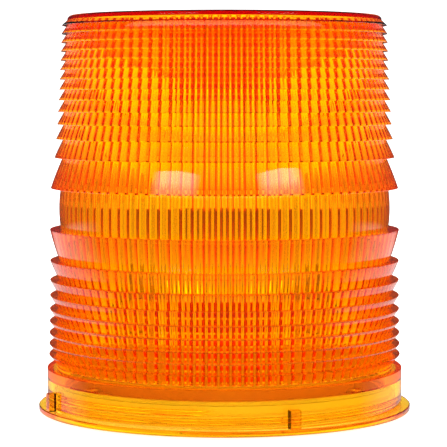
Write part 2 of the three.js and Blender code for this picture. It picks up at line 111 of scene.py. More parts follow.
# the room: white to look at and to shine through, dim in the polished faces so that the gloss stays clear
def addSky(s):
    world = bpy.data.worlds.new("paleStudio")
    world.use_nodes = True
    tree = world.node_tree
    back = tree.nodes["Background"]
    back.inputs["Color"].default_value = (*s["skyColour"], 1)
    back.inputs["Strength"].default_value = s["skyStrength"]
    room = tree.nodes.new("ShaderNodeBackground")
    place = tree.nodes.new("ShaderNodeTexCoord")
    axes = tree.nodes.new("ShaderNodeSeparateXYZ")
    tree.links.new(place.outputs["Generated"], axes.inputs[0])
    low = rampNode(tree, axes.outputs["Z"], s["tableEdge"], s["tableEdge"] - 0.05)
    behind = rampNode(tree, axes.outputs["Y"], 0.1, 0.5)
    table = mathNode(tree, "MULTIPLY", low, behind)
    bright = mathNode(tree, "MULTIPLY_ADD", table, s["tableStrength"], s["roomStrength"])
    tree.links.new(bright, room.inputs["Strength"])
    # beside the panel the room is darker, most of all at eye level; this is what draws the flutes
    xx = mathNode(tree, "MULTIPLY", axes.outputs["X"], axes.outputs["X"])
    yy = mathNode(tree, "MULTIPLY", axes.outputs["Y"], axes.outputs["Y"])
    flat = mathNode(tree, "SQRT", mathNode(tree, "MAXIMUM", mathNode(tree, "ADD", xx, yy), 0.0001), 0.0)
    along = mathNode(tree, "DIVIDE", axes.outputs["Y"], flat)
    panel = rampNode(tree, along, s["panelEdge"] - s["panelSoft"], s["panelEdge"] + s["panelSoft"])
    level = mathNode(tree, "ABSOLUTE", axes.outputs["Z"], 0.0)
    dark = rampNode(tree, level, s["levelLow"], s["levelHigh"], s["darkLevel"], s["darkAbove"])
    shade = mathNode(tree, "MULTIPLY_ADD", panel, mathNode(tree, "SUBTRACT", 1.0, dark), dark)
    tint = tree.nodes.new("ShaderNodeMix")
    tint.data_type = "RGBA"
    tint.inputs["A"].default_value = (*s["darkTint"], 1)
    tint.inputs["B"].default_value = (*s["skyColour"], 1)
    tree.links.new(shade, tint.inputs["Factor"])
    through = tree.nodes.new("ShaderNodeBackground")
    tree.links.new(tint.outputs["Result"], through.inputs["Color"])
    lift = rampNode(tree, axes.outputs["Z"], 0.15, 0.6, 1.0, s["aboveGain"])
    strength = mathNode(tree, "MULTIPLY", mathNode(tree, "MULTIPLY", shade, lift), s["throughStrength"])
    tree.links.new(strength, through.inputs["Strength"])
    path = tree.nodes.new("ShaderNodeLightPath")
    gloss = mathNode(tree, "SUBTRACT", path.outputs["Is Reflection Ray"], path.outputs["Is Diffuse Ray"])
    # white parts inside the lens are lit through it from all sides, so only a straight view sees the panel
    inside = tree.nodes.new("ShaderNodeBackground")
    inside.inputs["Color"].default_value = (*s["insideColour"], 1)
    inside.inputs["Strength"].default_value = s["insideStrength"]
    behindLens = tree.nodes.new("ShaderNodeMixShader")
    tree.links.new(mathNode(tree, "LESS_THAN", path.outputs["Diffuse Depth"], 0.5), behindLens.inputs[0])
    tree.links.new(inside.outputs[0], behindLens.inputs[1])
    tree.links.new(through.outputs[0], behindLens.inputs[2])
    inner = tree.nodes.new("ShaderNodeMixShader")
    tree.links.new(path.outputs["Is Transmission Ray"], inner.inputs[0])
    tree.links.new(back.outputs[0], inner.inputs[1])
    tree.links.new(behindLens.outputs[0], inner.inputs[2])
    mix = tree.nodes.new("ShaderNodeMixShader")
    tree.links.new(gloss, mix.inputs[0])
    tree.links.new(inner.outputs[0], mix.inputs[1])
    tree.links.new(room.outputs[0], mix.inputs[2])
    tree.links.new(mix.outputs[0], tree.nodes["World Output"].inputs["Surface"])
    bpy.context.scene.world = world


def addSoftbox(s, number, azimuth, elevation, roll):
    width, height = s["boxSize"]
    lamp = bpy.data.lights.new(f"softbox{number}", "AREA")
    lamp.shape = "RECTANGLE"
    lamp.size = width
    lamp.size_y = height
    lamp.energy = s["boxRadiance"] * math.pi * width * height
    lamp.use_nodes = True
    tree = lamp.node_tree
    spot = tree.nodes.new("ShaderNodeNewGeometry")
    across = tree.nodes.new("ShaderNodeSeparateXYZ")
    tree.links.new(spot.outputs["Parametric"], across.inputs[0])
    rise = rampNode(tree, across.outputs["Y"], 0.0, s["boxFadeLow"])
    left = rampNode(tree, across.outputs["X"], 0.0, s["boxFadeSide"])
    right = rampNode(tree, across.outputs["X"], 1.0, 1.0 - s["boxFadeSide"])
    soft = mathNode(tree, "MULTIPLY", mathNode(tree, "MULTIPLY", left, right), rise)
    tree.links.new(soft, tree.nodes["Emission"].inputs["Strength"])
    holder = bpy.data.objects.new(f"softbox{number}", lamp)
    a, e = math.radians(azimuth), math.radians(elevation)
    out = s["boxReach"]
    holder.location = (
        out * math.sin(a) * math.cos(e),
        -out * math.cos(a) * math.cos(e),
        s["boxAim"] + out * math.sin(e),
    )
    turn = Matrix.Rotation(a, 4, "Z") @ Matrix.Rotation(math.radians(90) - e, 4, "X")
    holder.rotation_euler = (turn @ Matrix.Rotation(math.radians(roll), 4, "Z")).to_euler()
    bpy.context.collection.objects.link(holder)


# a small lamp under the lens top stands for the light that the prisms scatter down inside
def addFill(s):
    lamp = bpy.data.lights.new("prismGlow", "AREA")
    lamp.shape = "DISK"
    lamp.size = s["fillSize"]
    lamp.energy = s["fillPower"]
    lamp.color = s["fillColour"]
    holder = bpy.data.objects.new("prismGlow", lamp)
    holder.location = (0, 0, s["fillHeight"])
    holder.visible_camera = False
    holder.visible_glossy = False
    holder.visible_transmission = False
    bpy.context.collection.objects.link(holder)


def addFloor(s):
    half = s["floorSize"] / 2
    mesh = bpy.data.meshes.new("floor")
    corners = [(-half, -half, 0), (half, -half, 0), (half, half, 0), (-half, half, 0)]
    mesh.from_pydata(corners, [], [(0, 1, 2, 3)])
    mat, tree, bsdf = blankMaterial("paleFloor")
    bsdf.inputs["Base Color"].default_value = (s["floorTone"], s["floorTone"], s["floorTone"], 1)
    bsdf.inputs["Roughness"].default_value = 0.9
    bsdf.inputs["Specular IOR Level"].default_value = 0.0
    bsdf.inputs["Emission Color"].default_value = (1, 1, 1, 1)
    bsdf.inputs["Emission Strength"].default_value = s["floorGlow"]   # it lights the flange from below
    mesh.materials.append(mat)
    floor = bpy.data.objects.new("floor", mesh)
    floor.location.z = -0.5 * mm
    floor.visible_glossy = False
    bpy.context.collection.objects.link(floor)


def tuneRender(s):
    scene = bpy.context.scene
    scene.view_settings.view_transform = "Standard"
    scene.cycles.max_bounces = s["bounces"]
    scene.cycles.transmission_bounces = s["bounces"]
    scene.cycles.glossy_bounces = s["glossBounces"]


def blankMaterial(name):
    mat = bpy.data.materials.new(name)
    mat.use_nodes = True
    tree = mat.node_tree
    return mat, tree, tree.nodes["Principled BSDF"]


def noiseNode(tree, scale, detail=3.0, stretch=None):
    node = tree.nodes.new("ShaderNodeTexNoise")
    node.inputs["Scale"].default_value = scale
    node.inputs["Detail"].default_value = detail
    place = tree.nodes.new("ShaderNodeTexCoord")
    source = place.outputs["Object"]
    if stretch:
        shape = tree.nodes.new("ShaderNodeMapping")
        shape.inputs["Scale"].default_value = stretch
        tree.links.new(source, shape.inputs["Vector"])
        source = shape.outputs["Vector"]
    tree.links.new(source, node.inputs["Vector"])
    return node.outputs["Fac"]


def bumpOn(tree, bsdf, height, strength, depth):
    node = tree.nodes.new("ShaderNodeBump")
    node.inputs["Strength"].default_value = strength
    node.inputs["Distance"].default_value = depth * mm
    tree.links.new(height, node.inputs["Height"])
    tree.links.new(node.outputs["Normal"], bsdf.inputs["Normal"])


def mixColours(tree, bsdf, amount, first, second):
    node = tree.nodes.new("ShaderNodeMix")
    node.data_type = "RGBA"
    node.inputs["A"].default_value = (*first, 1)
    node.inputs["B"].default_value = (*second, 1)
    tree.links.new(amount, node.inputs["Factor"])
    tree.links.new(node.outputs["Result"], bsdf.inputs["Base Color"])


amber = {
    "ior": 1.586,
    "absorb": (0.008, 0.112, 1.0),   # red, green and blue, per millimetre
    "rippleScale": 90.0, "rippleDepth": 0.012,
    "hazeScale": 400.0, "hazeLow": 0.0, "hazeHigh": 0.03,
}


def amberPolycarbonate(a):
    mat, tree, bsdf = blankMaterial("amberPolycarbonate")
    bsdf.inputs["Base Color"].default_value = (1, 1, 1, 1)
    bsdf.inputs["IOR"].default_value = a["ior"]
    bsdf.inputs["Transmission Weight"].default_value = 1.0
    haze = rampNode(tree, noiseNode(tree, a["hazeScale"]), 0.45, 0.75, a["hazeLow"], a["hazeHigh"])
    tree.links.new(haze, bsdf.inputs["Roughness"])
    bumpOn(tree, bsdf, noiseNode(tree, a["rippleScale"], 2.0), 0.5, a["rippleDepth"])
    absorb = tree.nodes.new("ShaderNodeVolumeAbsorption")
    absorb.inputs["Density"].default_value = 1.0 / mm
    passed = [1 - share for share in a["absorb"]]
    absorb.inputs["Color"].default_value = (*passed, 1)
    tree.links.new(absorb.outputs["Volume"], tree.nodes["Material Output"].inputs["Volume"])
    return mat


# moulded plastic or rubber: two close tones in slow clouds, and a fine etched skin
def moulded(name, light, dark, rough, grainScale, grainDepth, cloudScale=60.0):
    mat, tree, bsdf = blankMaterial(name)
    mixColours(tree, bsdf, rampNode(tree, noiseNode(tree, cloudScale, 4.0), 0.35, 0.65), dark, light)
    grain = noiseNode(tree, grainScale, 5.0)
    tree.links.new(rampNode(tree, grain, 0.3, 0.7, *rough), bsdf.inputs["Roughness"])
    bumpOn(tree, bsdf, grain, 0.6, grainDepth)
    return mat


# bare or plated metal, with fine lines along one axis where stretch says so
def metal(name, light, dark, rough, lineScale, depth, stretch=None):
    mat, tree, bsdf = blankMaterial(name)
    bsdf.inputs["Metallic"].default_value = 1.0
    lines = noiseNode(tree, lineScale, 4.0, stretch)
    mixColours(tree, bsdf, rampNode(tree, lines, 0.3, 0.7), dark, light)
    tree.links.new(rampNode(tree, lines, 0.3, 0.7, *rough), bsdf.inputs["Roughness"])
    bumpOn(tree, bsdf, lines, 0.5, depth)
    return mat


# regular ridges up a coil: wound wire or the edges of a tape; the colour runs from the dark tone in the
# grooves between turns to the light tone on the crests, which is painted shade in the grooves
def wound(name, light, dark, rough, ridgesScale, depth, metallic=0.0):
    mat, tree, bsdf = blankMaterial(name)
    bsdf.inputs["Metallic"].default_value = metallic
    turns = tree.nodes.new("ShaderNodeTexWave")
    turns.bands_direction = "Z"
    turns.inputs["Scale"].default_value = ridgesScale
    turns.inputs["Distortion"].default_value = 0.4
    place = tree.nodes.new("ShaderNodeTexCoord")
    tree.links.new(place.outputs["Object"], turns.inputs["Vector"])
    # painted shade: the grooves between turns take the dark tone and the crests the light one
    mixColours(tree, bsdf, turns.outputs["Fac"], dark, light)
    tree.links.new(rampNode(tree, noiseNode(tree, 900.0), 0.3, 0.7, *rough), bsdf.inputs["Roughness"])
    bumpOn(tree, bsdf, turns.outputs["Fac"], 0.8, depth)
    return mat


def clearGlass(name, tone, waveScale, waveDepth):
    mat, tree, bsdf = blankMaterial(name)
    bsdf.inputs["Base Color"].default_value = (*tone, 1)
    bsdf.inputs["IOR"].default_value = 1.47
    bsdf.inputs["Transmission Weight"].default_value = 1.0
    tree.links.new(rampNode(tree, noiseNode(tree, 300.0), 0.5, 0.8, 0.0, 0.04), bsdf.inputs["Roughness"])
    bumpOn(tree, bsdf, noiseNode(tree, waveScale, 2.0), 0.4, waveDepth)
    return mat


# how near a point is to the line between two cells of a square or a slanting grid
def cellLines(tree, scale, metric, width):
    place = tree.nodes.new("ShaderNodeTexCoord")
    reach = []
    for feature in ("F2", "F1"):
        cells = tree.nodes.new("ShaderNodeTexVoronoi")
        cells.feature = feature
        cells.distance = metric
        cells.inputs["Scale"].default_value = scale
        tree.links.new(place.outputs["Object"], cells.inputs["Vector"])
        reach.append(cells.outputs["Distance"])
    return rampNode(tree, mathNode(tree, "SUBTRACT", *reach), width, width * 0.6)


mask = {
    "ground": (0.012, 0.1, 0.035), "track": (0.045, 0.24, 0.07), "rough": (0.28, 0.42),
    "squareScale": 230.0, "squareWidth": 0.12, "slantScale": 120.0, "slantWidth": 0.07, "proud": 0.05,
}


# green mask over copper tracks, which run square and slanting, stand a little proud and show lighter
def solderMask(m):
    mat, tree, bsdf = blankMaterial("solderMask")
    square = cellLines(tree, m["squareScale"], "CHEBYCHEV", m["squareWidth"])
    slanting = cellLines(tree, m["slantScale"], "MANHATTAN", m["slantWidth"])
    tracks = mathNode(tree, "MAXIMUM", square, slanting)
    mixColours(tree, bsdf, tracks, m["ground"], m["track"])
    tree.links.new(rampNode(tree, noiseNode(tree, 700.0), 0.3, 0.7, *m["rough"]), bsdf.inputs["Roughness"])
    bumpOn(tree, bsdf, tracks, 0.7, m["proud"])
    return mat


def milkySilicone():
    mat = moulded("milkySilicone", (0.86, 0.85, 0.81), (0.8, 0.79, 0.74), (0.38, 0.52), 1200.0, 0.01)
    bsdf = mat.node_tree.nodes["Principled BSDF"]
    bsdf.inputs["Subsurface Weight"].default_value = 0.4
    bsdf.inputs["Subsurface Radius"].default_value = (0.003, 0.0025, 0.002)
    return mat


# moulded: light tone, dark tone, roughness, grain scale, grain depth in millimetres, cloud scale
plastics = {
    "whitePolycarbonate": ((0.93, 0.92, 0.9), (0.9, 0.89, 0.865), (0.32, 0.48), 1500.0, 0.02),
    "paleGasket": ((0.84, 0.83, 0.8), (0.76, 0.75, 0.71), (0.55, 0.75), 900.0, 0.05),
    "blackRubber": ((0.03, 0.03, 0.032), (0.018, 0.018, 0.02), (0.65, 0.85), 1100.0, 0.04),
    "ivoryPhenolic": ((0.82, 0.79, 0.72), (0.74, 0.7, 0.61), (0.35, 0.5), 2200.0, 0.012, 500.0),
    "greenPlastic": ((0.06, 0.3, 0.12), (0.04, 0.24, 0.09), (0.35, 0.5), 1500.0, 0.02),
    "blackEpoxy": ((0.032, 0.032, 0.034), (0.02, 0.02, 0.022), (0.5, 0.7), 2500.0, 0.015),
    "darkFerrite": ((0.09, 0.09, 0.1), (0.055, 0.055, 0.062), (0.6, 0.8), 1600.0, 0.03, 700.0),
    "blueSleeve": ((0.03, 0.065, 0.17), (0.02, 0.045, 0.13), (0.22, 0.36), 260.0, 0.03, 120.0),
    "sleeveStripe": ((0.62, 0.64, 0.66), (0.55, 0.57, 0.6), (0.25, 0.4), 260.0, 0.03, 120.0),
    "laminateEdge": ((0.5, 0.47, 0.28), (0.4, 0.37, 0.2), (0.55, 0.75), 1500.0, 0.03, 400.0),
}
# metals: light tone, dark tone, roughness, line scale, line depth, and how the lines are drawn out
metals = {
    "zincPlate": ((0.78, 0.78, 0.8), (0.62, 0.63, 0.66), (0.22, 0.4), 1400.0, 0.006),
    "tinnedPin": ((0.8, 0.79, 0.76), (0.68, 0.67, 0.65), (0.18, 0.34), 900.0, 0.004, (6, 6, 1)),
    "extrudedAluminium": ((0.74, 0.74, 0.75), (0.6, 0.6, 0.62), (0.3, 0.48), 500.0, 0.01, (8, 8, 0.4)),
}
# windings: light tone, dark tone painted as shade in the grooves, roughness, ridges, ridge depth, metallic
windings = {
    "windingTape": ((0.75, 0.52, 0.12), (0.62, 0.4, 0.07), (0.34, 0.5), 60.0, 0.05),
    "enamelledCopper": ((0.62, 0.25, 0.09), (0.32, 0.1, 0.03), (0.22, 0.38), 260.0, 0.12, 0.85),
}
# glasses: tone, wave scale, wave depth
glasses = {
    "blownGlass": ((0.985, 0.992, 0.99), 70.0, 0.03),
    "tubeGlass": ((0.97, 0.98, 0.985), 200.0, 0.01),
}

finish = {
    "amber": amberPolycarbonate(amber),
    "milkySilicone": milkySilicone(),
    "solderMask": solderMask(mask),
}
for maker, kinds in ((moulded, plastics), (metal, metals), (wound, windings), (clearGlass, glasses)):
    for kind, values in kinds.items():
        finish[kind] = maker(kind, *values)
print("finishes ready:", len(finish))


# rings of points stacked into one mesh; each ring knows its first vertex, its columns and if it is crisp
class RingStack:
    def __init__(self):
        self.points, self.faces, self.starts, self.crisp = [], [], [], []
        self.total = 0

    def ring(self, r, z, columns, crisp=False, angles=None):
        a = np.arange(columns) * (2 * math.pi / columns) if angles is None else angles
        r = np.broadcast_to(r, (columns,))
        z = np.broadcast_to(z, (columns,))
        self.points.append(np.stack([r * np.cos(a), r * np.sin(a), z], axis=1))
        self.starts.append((self.total, columns))
        self.crisp.append(crisp)
        self.total += columns
        return self.total - columns

    def point(self, z):
        self.points.append(np.array([[0.0, 0.0, z]]))
        self.total += 1
        return self.total - 1

    def join(self, a, b, count):
        i = np.arange(count)
        j = (i + 1) % count
        self.faces.append(np.stack([a + i, a + j, b + j, b + i], axis=1))

    # one more ring, joined to the last
    def onward(self, last, r, z, columns, crisp=False):
        start = self.ring(r, z, columns, crisp)
        self.join(last, start, columns)
        return start

    def fan(self, start, centre, count, up):
        i = np.arange(count)
        j = (i + 1) % count
        first, second = (i, j) if up else (j, i)
        self.faces.append(np.stack([start + first, start + second, np.full(count, centre)], axis=1))

    # a coarse ring at a joined to a fine ring at b, with k fine steps to each coarse one
    def stitch(self, a, coarse, b, fine, down):
        k = fine // coarse
        i = np.arange(coarse)
        mid = (k + 1) // 2
        for c in range(k):
            corner = a + (i + (1 if c >= mid else 0)) % coarse
            near, far = b + (i * k + c) % fine, b + (i * k + c + 1) % fine
            self.faces.append(np.stack([corner, far, near] if down else [near, far, corner], axis=1))
        left, right, foot = a + i, a + (i + 1) % coarse, b + (i * k + mid) % fine
        self.faces.append(np.stack([left, right, foot] if down else [right, left, foot], axis=1))


def meshFrom(name, points, faces):
    mesh = bpy.data.meshes.new(name)
    mesh.vertices.add(len(points))
    mesh.vertices.foreach_set("co", (np.asarray(points) * mm).astype(np.float32).ravel())
    loops = np.concatenate([f.ravel() for f in faces]).astype(np.int32)
    sizes = np.concatenate([np.full(len(f), f.shape[1]) for f in faces])
    mesh.loops.add(len(loops))
    mesh.loops.foreach_set("vertex_index", loops)
    mesh.polygons.add(len(sizes))
    mesh.polygons.foreach_set("loop_start", np.concatenate([[0], np.cumsum(sizes)[:-1]]).astype(np.int32))
    mesh.update(calc_edges=True)
    mesh.validate()
    mesh.polygons.foreach_set("use_smooth", np.ones(len(mesh.polygons), bool))
    return mesh


# a new piece: its mesh, finish and body, and the frame's nodes that it stands for; the slot argument is
# not used
def addPiece(name, mesh, kind, body, slot, *nodes):
    mesh.materials.clear()
    mesh.materials.append(finish[kind])
    piece = bpy.data.objects.new(name, mesh)
    bpy.context.collection.objects.link(piece)
    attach(piece, body)
    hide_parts(*nodes)
    return piece


# gives the faces that a test picks another finish
def addFinish(mesh, kind, test):
    mesh.materials.append(finish[kind])
    index = len(mesh.materials) - 1
    for face in mesh.polygons:
        if test(np.array(face.center) / mm, face.normal):
            face.material_index = index


# a node's box in millimetres
def boxOf(node):
    low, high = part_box(node)
    return np.array(low) / mm, np.array(high) / mm


def slotOf(node):
    return next(row["material_slot"] for row in frame["record"]["subparts"] if row["node"] == node)


def onCircle(radius, degrees):
    return (radius * math.cos(math.radians(degrees)), radius * math.sin(math.radians(degrees)))


# rounds the corners of an outline; a corner is (radius, height) or (radius, height, rounding)
def eased(outline, steps=3):
    points = []
    for i, corner in enumerate(outline):
        here = np.array(corner[:2], float)
        if len(corner) < 3:
            points.append(tuple(here))
            continue
        back = np.array(outline[i - 1][:2], float) - here
        ahead = np.array(outline[(i + 1) % len(outline)][:2], float) - here
        backLength, aheadLength = np.linalg.norm(back), np.linalg.norm(ahead)
        reach = min(corner[2], 0.45 * backLength, 0.45 * aheadLength)
        a, b = here + back / backLength * reach, here + ahead / aheadLength * reach
        for k in range(steps + 1):
            t = k / steps
            points.append(tuple((1 - t) ** 2 * a + 2 * t * (1 - t) * here + t * t * b))
    return points


# an outline turned about an upright axis; it runs anticlockwise, and closes unless it starts on the axis
def turned(outline, segments=96, at=(0, 0), start=0.0):
    stack = RingStack()
    spots = []
    for r, z in outline:
        spots.append((r < 1e-6, stack.point(z) if r < 1e-6 else stack.ring(r, z, segments)))
    closing = [] if spots[0][0] else [(spots[-1], spots[0])]
    for (fromPole, a), (toPole, b) in list(zip(spots, spots[1:])) + closing:
        if fromPole and toPole:
            continue
        if fromPole:
            stack.fan(b, a, segments, False)
        elif toPole:
            stack.fan(a, b, segments, True)
        else:
            stack.join(a, b, segments)
    points = np.concatenate(stack.points) @ np.array(Matrix.Rotation(math.radians(-start), 3, "Z"))
    points[:, :2] += at
    return points, stack.faces


# cutters and joined shapes start at odd angles, so that their edges never lie along each other's
cutStart, joinStart = 1.7, 4.1


def rod(radius, low, high, at=(0, 0), segments=32):
    return turned([(0, low), (radius, low), (radius, high), (0, high)], segments, at, cutStart)


# an outline in plan, pushed straight up from low to high
def prism(outline, low, high):
    count = len(outline)
    points = np.array([(x, y, z) for z in (low, high) for x, y in outline], float)
    step = np.arange(count)
    ahead = (step + 1) % count
    sides = np.stack([step, ahead, ahead + count, step + count], 1)
    return points, [sides, step[None, ::-1], step[None, :] + count]


# a hollow tube along a route that lies in the plane y = 0
def pipe(route, outer, inner, sides):
    middle = np.array(route, float)
    along = np.gradient(middle, axis=0)
    along /= np.linalg.norm(along, axis=1)[:, None]
    across, up = np.cross((0, 1, 0), along), np.array((0, 1, 0))
    turn = np.linspace(0, 2 * math.pi, sides, endpoint=False)[None, :, None]
    circle = np.cos(turn) * across[:, None, :] + np.sin(turn) * up
    points = np.concatenate([(middle[:, None, :] + r * circle).reshape(-1, 3) for r in (outer, inner)])
    total = len(middle) * sides
    spot = np.arange(total).reshape(len(middle), sides)
    ahead = np.roll(spot, -1, axis=1)
    skin = np.stack([spot[:-1], ahead[:-1], ahead[1:], spot[1:]], 2).reshape(-1, 4)
    start = np.stack([spot[0], spot[0] + total, ahead[0] + total, ahead[0]], 1)
    end = np.stack([spot[-1], ahead[-1], ahead[-1] + total, spot[-1] + total], 1)
    return points, [skin, skin[:, ::-1] + total, start, end]


# turned shapes stand upright at the origin; this lays them along X or Y about a node's middle
def laid(points, faces, axis, centre):
    x, y, z = points.T
    if axis == "X":
        return np.stack([z, x, y], 1) + centre, faces
    return np.stack([x, z, y], 1) + centre, [f[:, ::-1] for f in faces]


# joins shapes to a blank, then cuts others out of it; the solver works better in millimetres
def carved(shape, joins=(), cuts=()):
    work = bpy.data.objects.new("blank", meshFrom("blank", *shape))
    work.data.transform(Matrix.Scale(1 / mm, 4))
    bpy.context.collection.objects.link(work)
    tools = []
    for operation, shapes in (("UNION", joins), ("DIFFERENCE", cuts)):
        for single in shapes:
            tool = bpy.data.objects.new("tool", meshFrom("tool", *single))
            tool.data.transform(Matrix.Scale(1 / mm, 4))
            bpy.context.collection.objects.link(tool)
            step = work.modifiers.new(operation.lower(), "BOOLEAN")
            step.operation = operation
            step.solver = "EXACT"
            step.object = tool
            tools.append(tool)
    mesh = evaluatedMesh(work)
    for tool in tools:
        bpy.data.objects.remove(tool)
    mesh.transform(Matrix.Scale(mm, 4))
    return mesh


# the mesh that an object's modifiers or curve settings make; the object goes
def evaluatedMesh(work):
    bpy.context.view_layer.update()
    mesh = bpy.data.meshes.new_from_object(work.evaluated_get(bpy.context.evaluated_depsgraph_get()))
    bpy.data.objects.remove(work)
    return mesh


# a round wire on a closed route
def wireMesh(route, radius, resolution):
    curve = bpy.data.curves.new("wire", "CURVE")
    curve.dimensions = "3D"
    curve.bevel_depth = radius * mm
    curve.bevel_resolution = resolution
    line = curve.splines.new("POLY")
    line.points.add(len(route) - 1)
    for spot, (x, y, z) in zip(line.points, route):
        spot.co = (x * mm, y * mm, z * mm, 1)
    line.use_cyclic_u = True
    holder = bpy.data.objects.new("wire", curve)
    bpy.context.collection.objects.link(holder)
    return evaluatedMesh(holder)


def smoothed(mesh, crispAngle=34.0):
    mesh.polygons.foreach_set("use_smooth", np.ones(len(mesh.polygons), bool))
    mesh.set_sharp_from_angle(angle=math.radians(crispAngle))
    return mesh


def turnedMesh(name, outline, segments, at=(0, 0)):
    return smoothed(meshFrom(name, *turned(outline, segments, at)))


lens = {
    "lift": 0.5,
    "flangeR": 70.0, "flangeH": 2.1, "flangeEase": 0.3,
    "skirtR": 66.8, "skirtH": 16.0, "skirtLand": 1.0, "skirtEase": 0.15,
    "beltLow": 67.8, "beltHigh": 83.1, "beltR": 61.5, "beltArcR": 48.0,
    "height": 147.4, "cornerR": 1.8, "dish": 0.4, "wall": 3.0, "ceilingEase": 1.0,
    "upper": {"count": 14, "pitchFloor": 2.47, "pitchSpan": 8.93, "depthFloor": 1.6, "depthSpan": 2.4},
    "lower": {"count": 9, "pitchFloor": 2.88, "pitchSpan": 8.72, "depthFloor": 2.9, "depthSpan": 0.8},
    "upperRoot": 61.2, "upperDraft": 0.039,
    "lowerRoot": 61.9, "lowerDraft": 0.025,
    "faceArcR": 120.0, "tipR": 0.12,
    "boreR": 64.6, "shoulder": 11.9,
    "flutes": 90, "fluteDepth": 1.6, "fluteSteps": 16, "fluteLow": 17.0, "fluteRunOut": 0.4,
    "lugAngle": -69, "lugCount": 4, "lugR": 69.5, "lugTop": 8.7, "lugEase": 0.2,
    "columns": 360, "threadRings": 48, "threadEdge": 0.2,
    "fluteRings": 5, "beltSteps": 8, "cornerStep": 15,
    "depthFall": 0.8, "tallFace": 6.0, "tallSteps": 4, "shortSteps": 3,
}
lugColumns = {-2: (-1.75, False), -1: (-1.6, True), 0: (0.0, True), 1: (1.6, True), 2: (1.75, False)}

threads = {
    "pitch": 3.175, "startAngle": -105.0, "flank": 0.466, "runIn": 0.03,
    "innerCrest": 63.4, "innerLand": 0.9, "innerStart": 1.3, "innerTurns": 2.04,
    "core": 62.9, "outerCrest": 64.2, "outerLand": 0.7, "outerTurns": 2.0, "outerLead": -0.21,
}


def upperRoot(z):
    return lens["upperRoot"] - (z - lens["beltHigh"]) * lens["upperDraft"]


def lowerRoot(z):
    return lens["lowerRoot"] + (lens["beltLow"] - z) * lens["lowerDraft"]


def innerR(z):
    return (upperRoot(z) if z > lens["beltLow"] else lowerRoot(z)) - lens["wall"]


# points of a shallow arc, bulging to the left of the way from a to b
def arcBetween(a, b, radius, steps):
    ax, az = a
    bx, bz = b
    chord = math.hypot(bx - ax, bz - az)
    sag = radius - math.sqrt(radius * radius - chord * chord / 4)
    nx, nz = (bz - az) / chord, -(bx - ax) / chord
    points = []
    for i in range(steps + 1):
        t = i / steps
        bulge = 4 * sag * t * (1 - t)
        points.append((ax + (bx - ax) * t + nx * bulge, az + (bz - az) * t + nz * bulge))
    return points


# each tooth as (tip radius, tip height, height where its face ends)
def toothRow(teeth, start, direction, root):
    row = []
    z = start
    for k in range(teeth["count"]):
        ahead = z + direction * (teeth["pitchFloor"] + teeth["pitchSpan"] / (k + 1))
        depth = teeth["depthFloor"] + teeth["depthSpan"] / (k + 1) ** lens["depthFall"]
        row.append((root(z) + depth, z, ahead))
        z = ahead
    return row


def faceSteps(tall):
    return lens["tallSteps"] if tall > lens["tallFace"] else lens["shortSteps"]


# the outside from the bore's lower edge up to the top: (radius, height, crisp, lug share)
def outerProfile():
    ease = lens["flangeEase"]
    p = [
        (lens["boreR"], 0, True, 0), (lens["flangeR"] - ease, 0, True, 0),
        (lens["flangeR"], ease, True, 0),
        (lens["flangeR"], lens["flangeH"] - ease, True, 0),
        (lens["flangeR"] - ease, lens["flangeH"], True, 0),
        (lens["skirtR"], lens["flangeH"], True, 1),
        (lens["skirtR"], lens["lugTop"] - lens["lugEase"], False, 1),
        (lens["skirtR"], lens["lugTop"], False, 0),
        (lens["skirtR"], lens["skirtH"] - lens["skirtEase"], True, 0),
        (lens["skirtR"] - lens["skirtEase"], lens["skirtH"], True, 0),
        (lowerRoot(lens["skirtH"]), lens["skirtH"], True, 0),
    ]
    tip = lens["tipR"]
    for tipR, tipZ, end in reversed(toothRow(lens["lower"], lens["beltLow"], -1, lowerRoot)):
        low = max(end, lens["skirtH"] + lens["skirtLand"])
        steps = faceSteps(tipZ - end)
        face = arcBetween((lowerRoot(end), low), (tipR, tipZ - tip), lens["faceArcR"], steps)
        p += [(r, z, i in (0, steps), 0) for i, (r, z) in enumerate(face)]
        p.append((tipR - tip, tipZ, True, 0))
    beltFoot, beltTop = (lens["beltR"], lens["beltLow"]), (lens["beltR"], lens["beltHigh"])
    belt = arcBetween(beltFoot, beltTop, lens["beltArcR"], lens["beltSteps"])
    p += [(r, z, i in (0, lens["beltSteps"]), 0) for i, (r, z) in enumerate(belt)]
    centre = lens["height"] - lens["cornerR"]
    for tipR, tipZ, end in toothRow(lens["upper"], lens["beltHigh"], 1, upperRoot):
        high = min(end, centre)
        steps = faceSteps(end - tipZ)
        face = arcBetween((tipR, tipZ + tip), (upperRoot(end), high), lens["faceArcR"], steps)
        p.append((tipR - tip, tipZ, True, 0))
        p += [(r, z, i in (0, steps), 0) for i, (r, z) in enumerate(face)]
    rim = upperRoot(centre) - lens["cornerR"]
    step = lens["cornerStep"]
    for degrees in range(step, 90 + step, step):
        a = math.radians(degrees)
        p.append((rim + lens["cornerR"] * math.cos(a), centre + lens["cornerR"] * math.sin(a), False, 0))
    p.append((rim * 0.5, lens["height"] - lens["dish"] * 0.5, False, 0))
    return p


# how far a thread ridge stands up at each column of a ring at height z
def ridge(z, columns, startZ, firstTurn, lastTurn, land, height):
    a = np.arange(columns) * 360.0 / columns
    ahead = ((a - threads["startAngle"]) % 360) / 360
    best = np.zeros(columns)
    for whole in range(-1, 4):
        turn = ahead + whole
        begun = np.clip((turn - firstTurn) / threads["runIn"], 0, 1)
        live = begun * np.clip((lastTurn - turn) / threads["runIn"], 0, 1)
        gap = np.abs(z - (startZ + threads["pitch"] * turn))
        full = height + (land / 2 - gap) / threads["flank"]
        best = np.maximum(best, np.clip(full, 0, height) * live)
    return best


def threadBore(z, columns):
    t = threads
    height = lens["boreR"] - t["innerCrest"]
    return lens["boreR"] - ridge(z, columns, t["innerStart"], 0, t["innerTurns"], t["innerLand"], height)


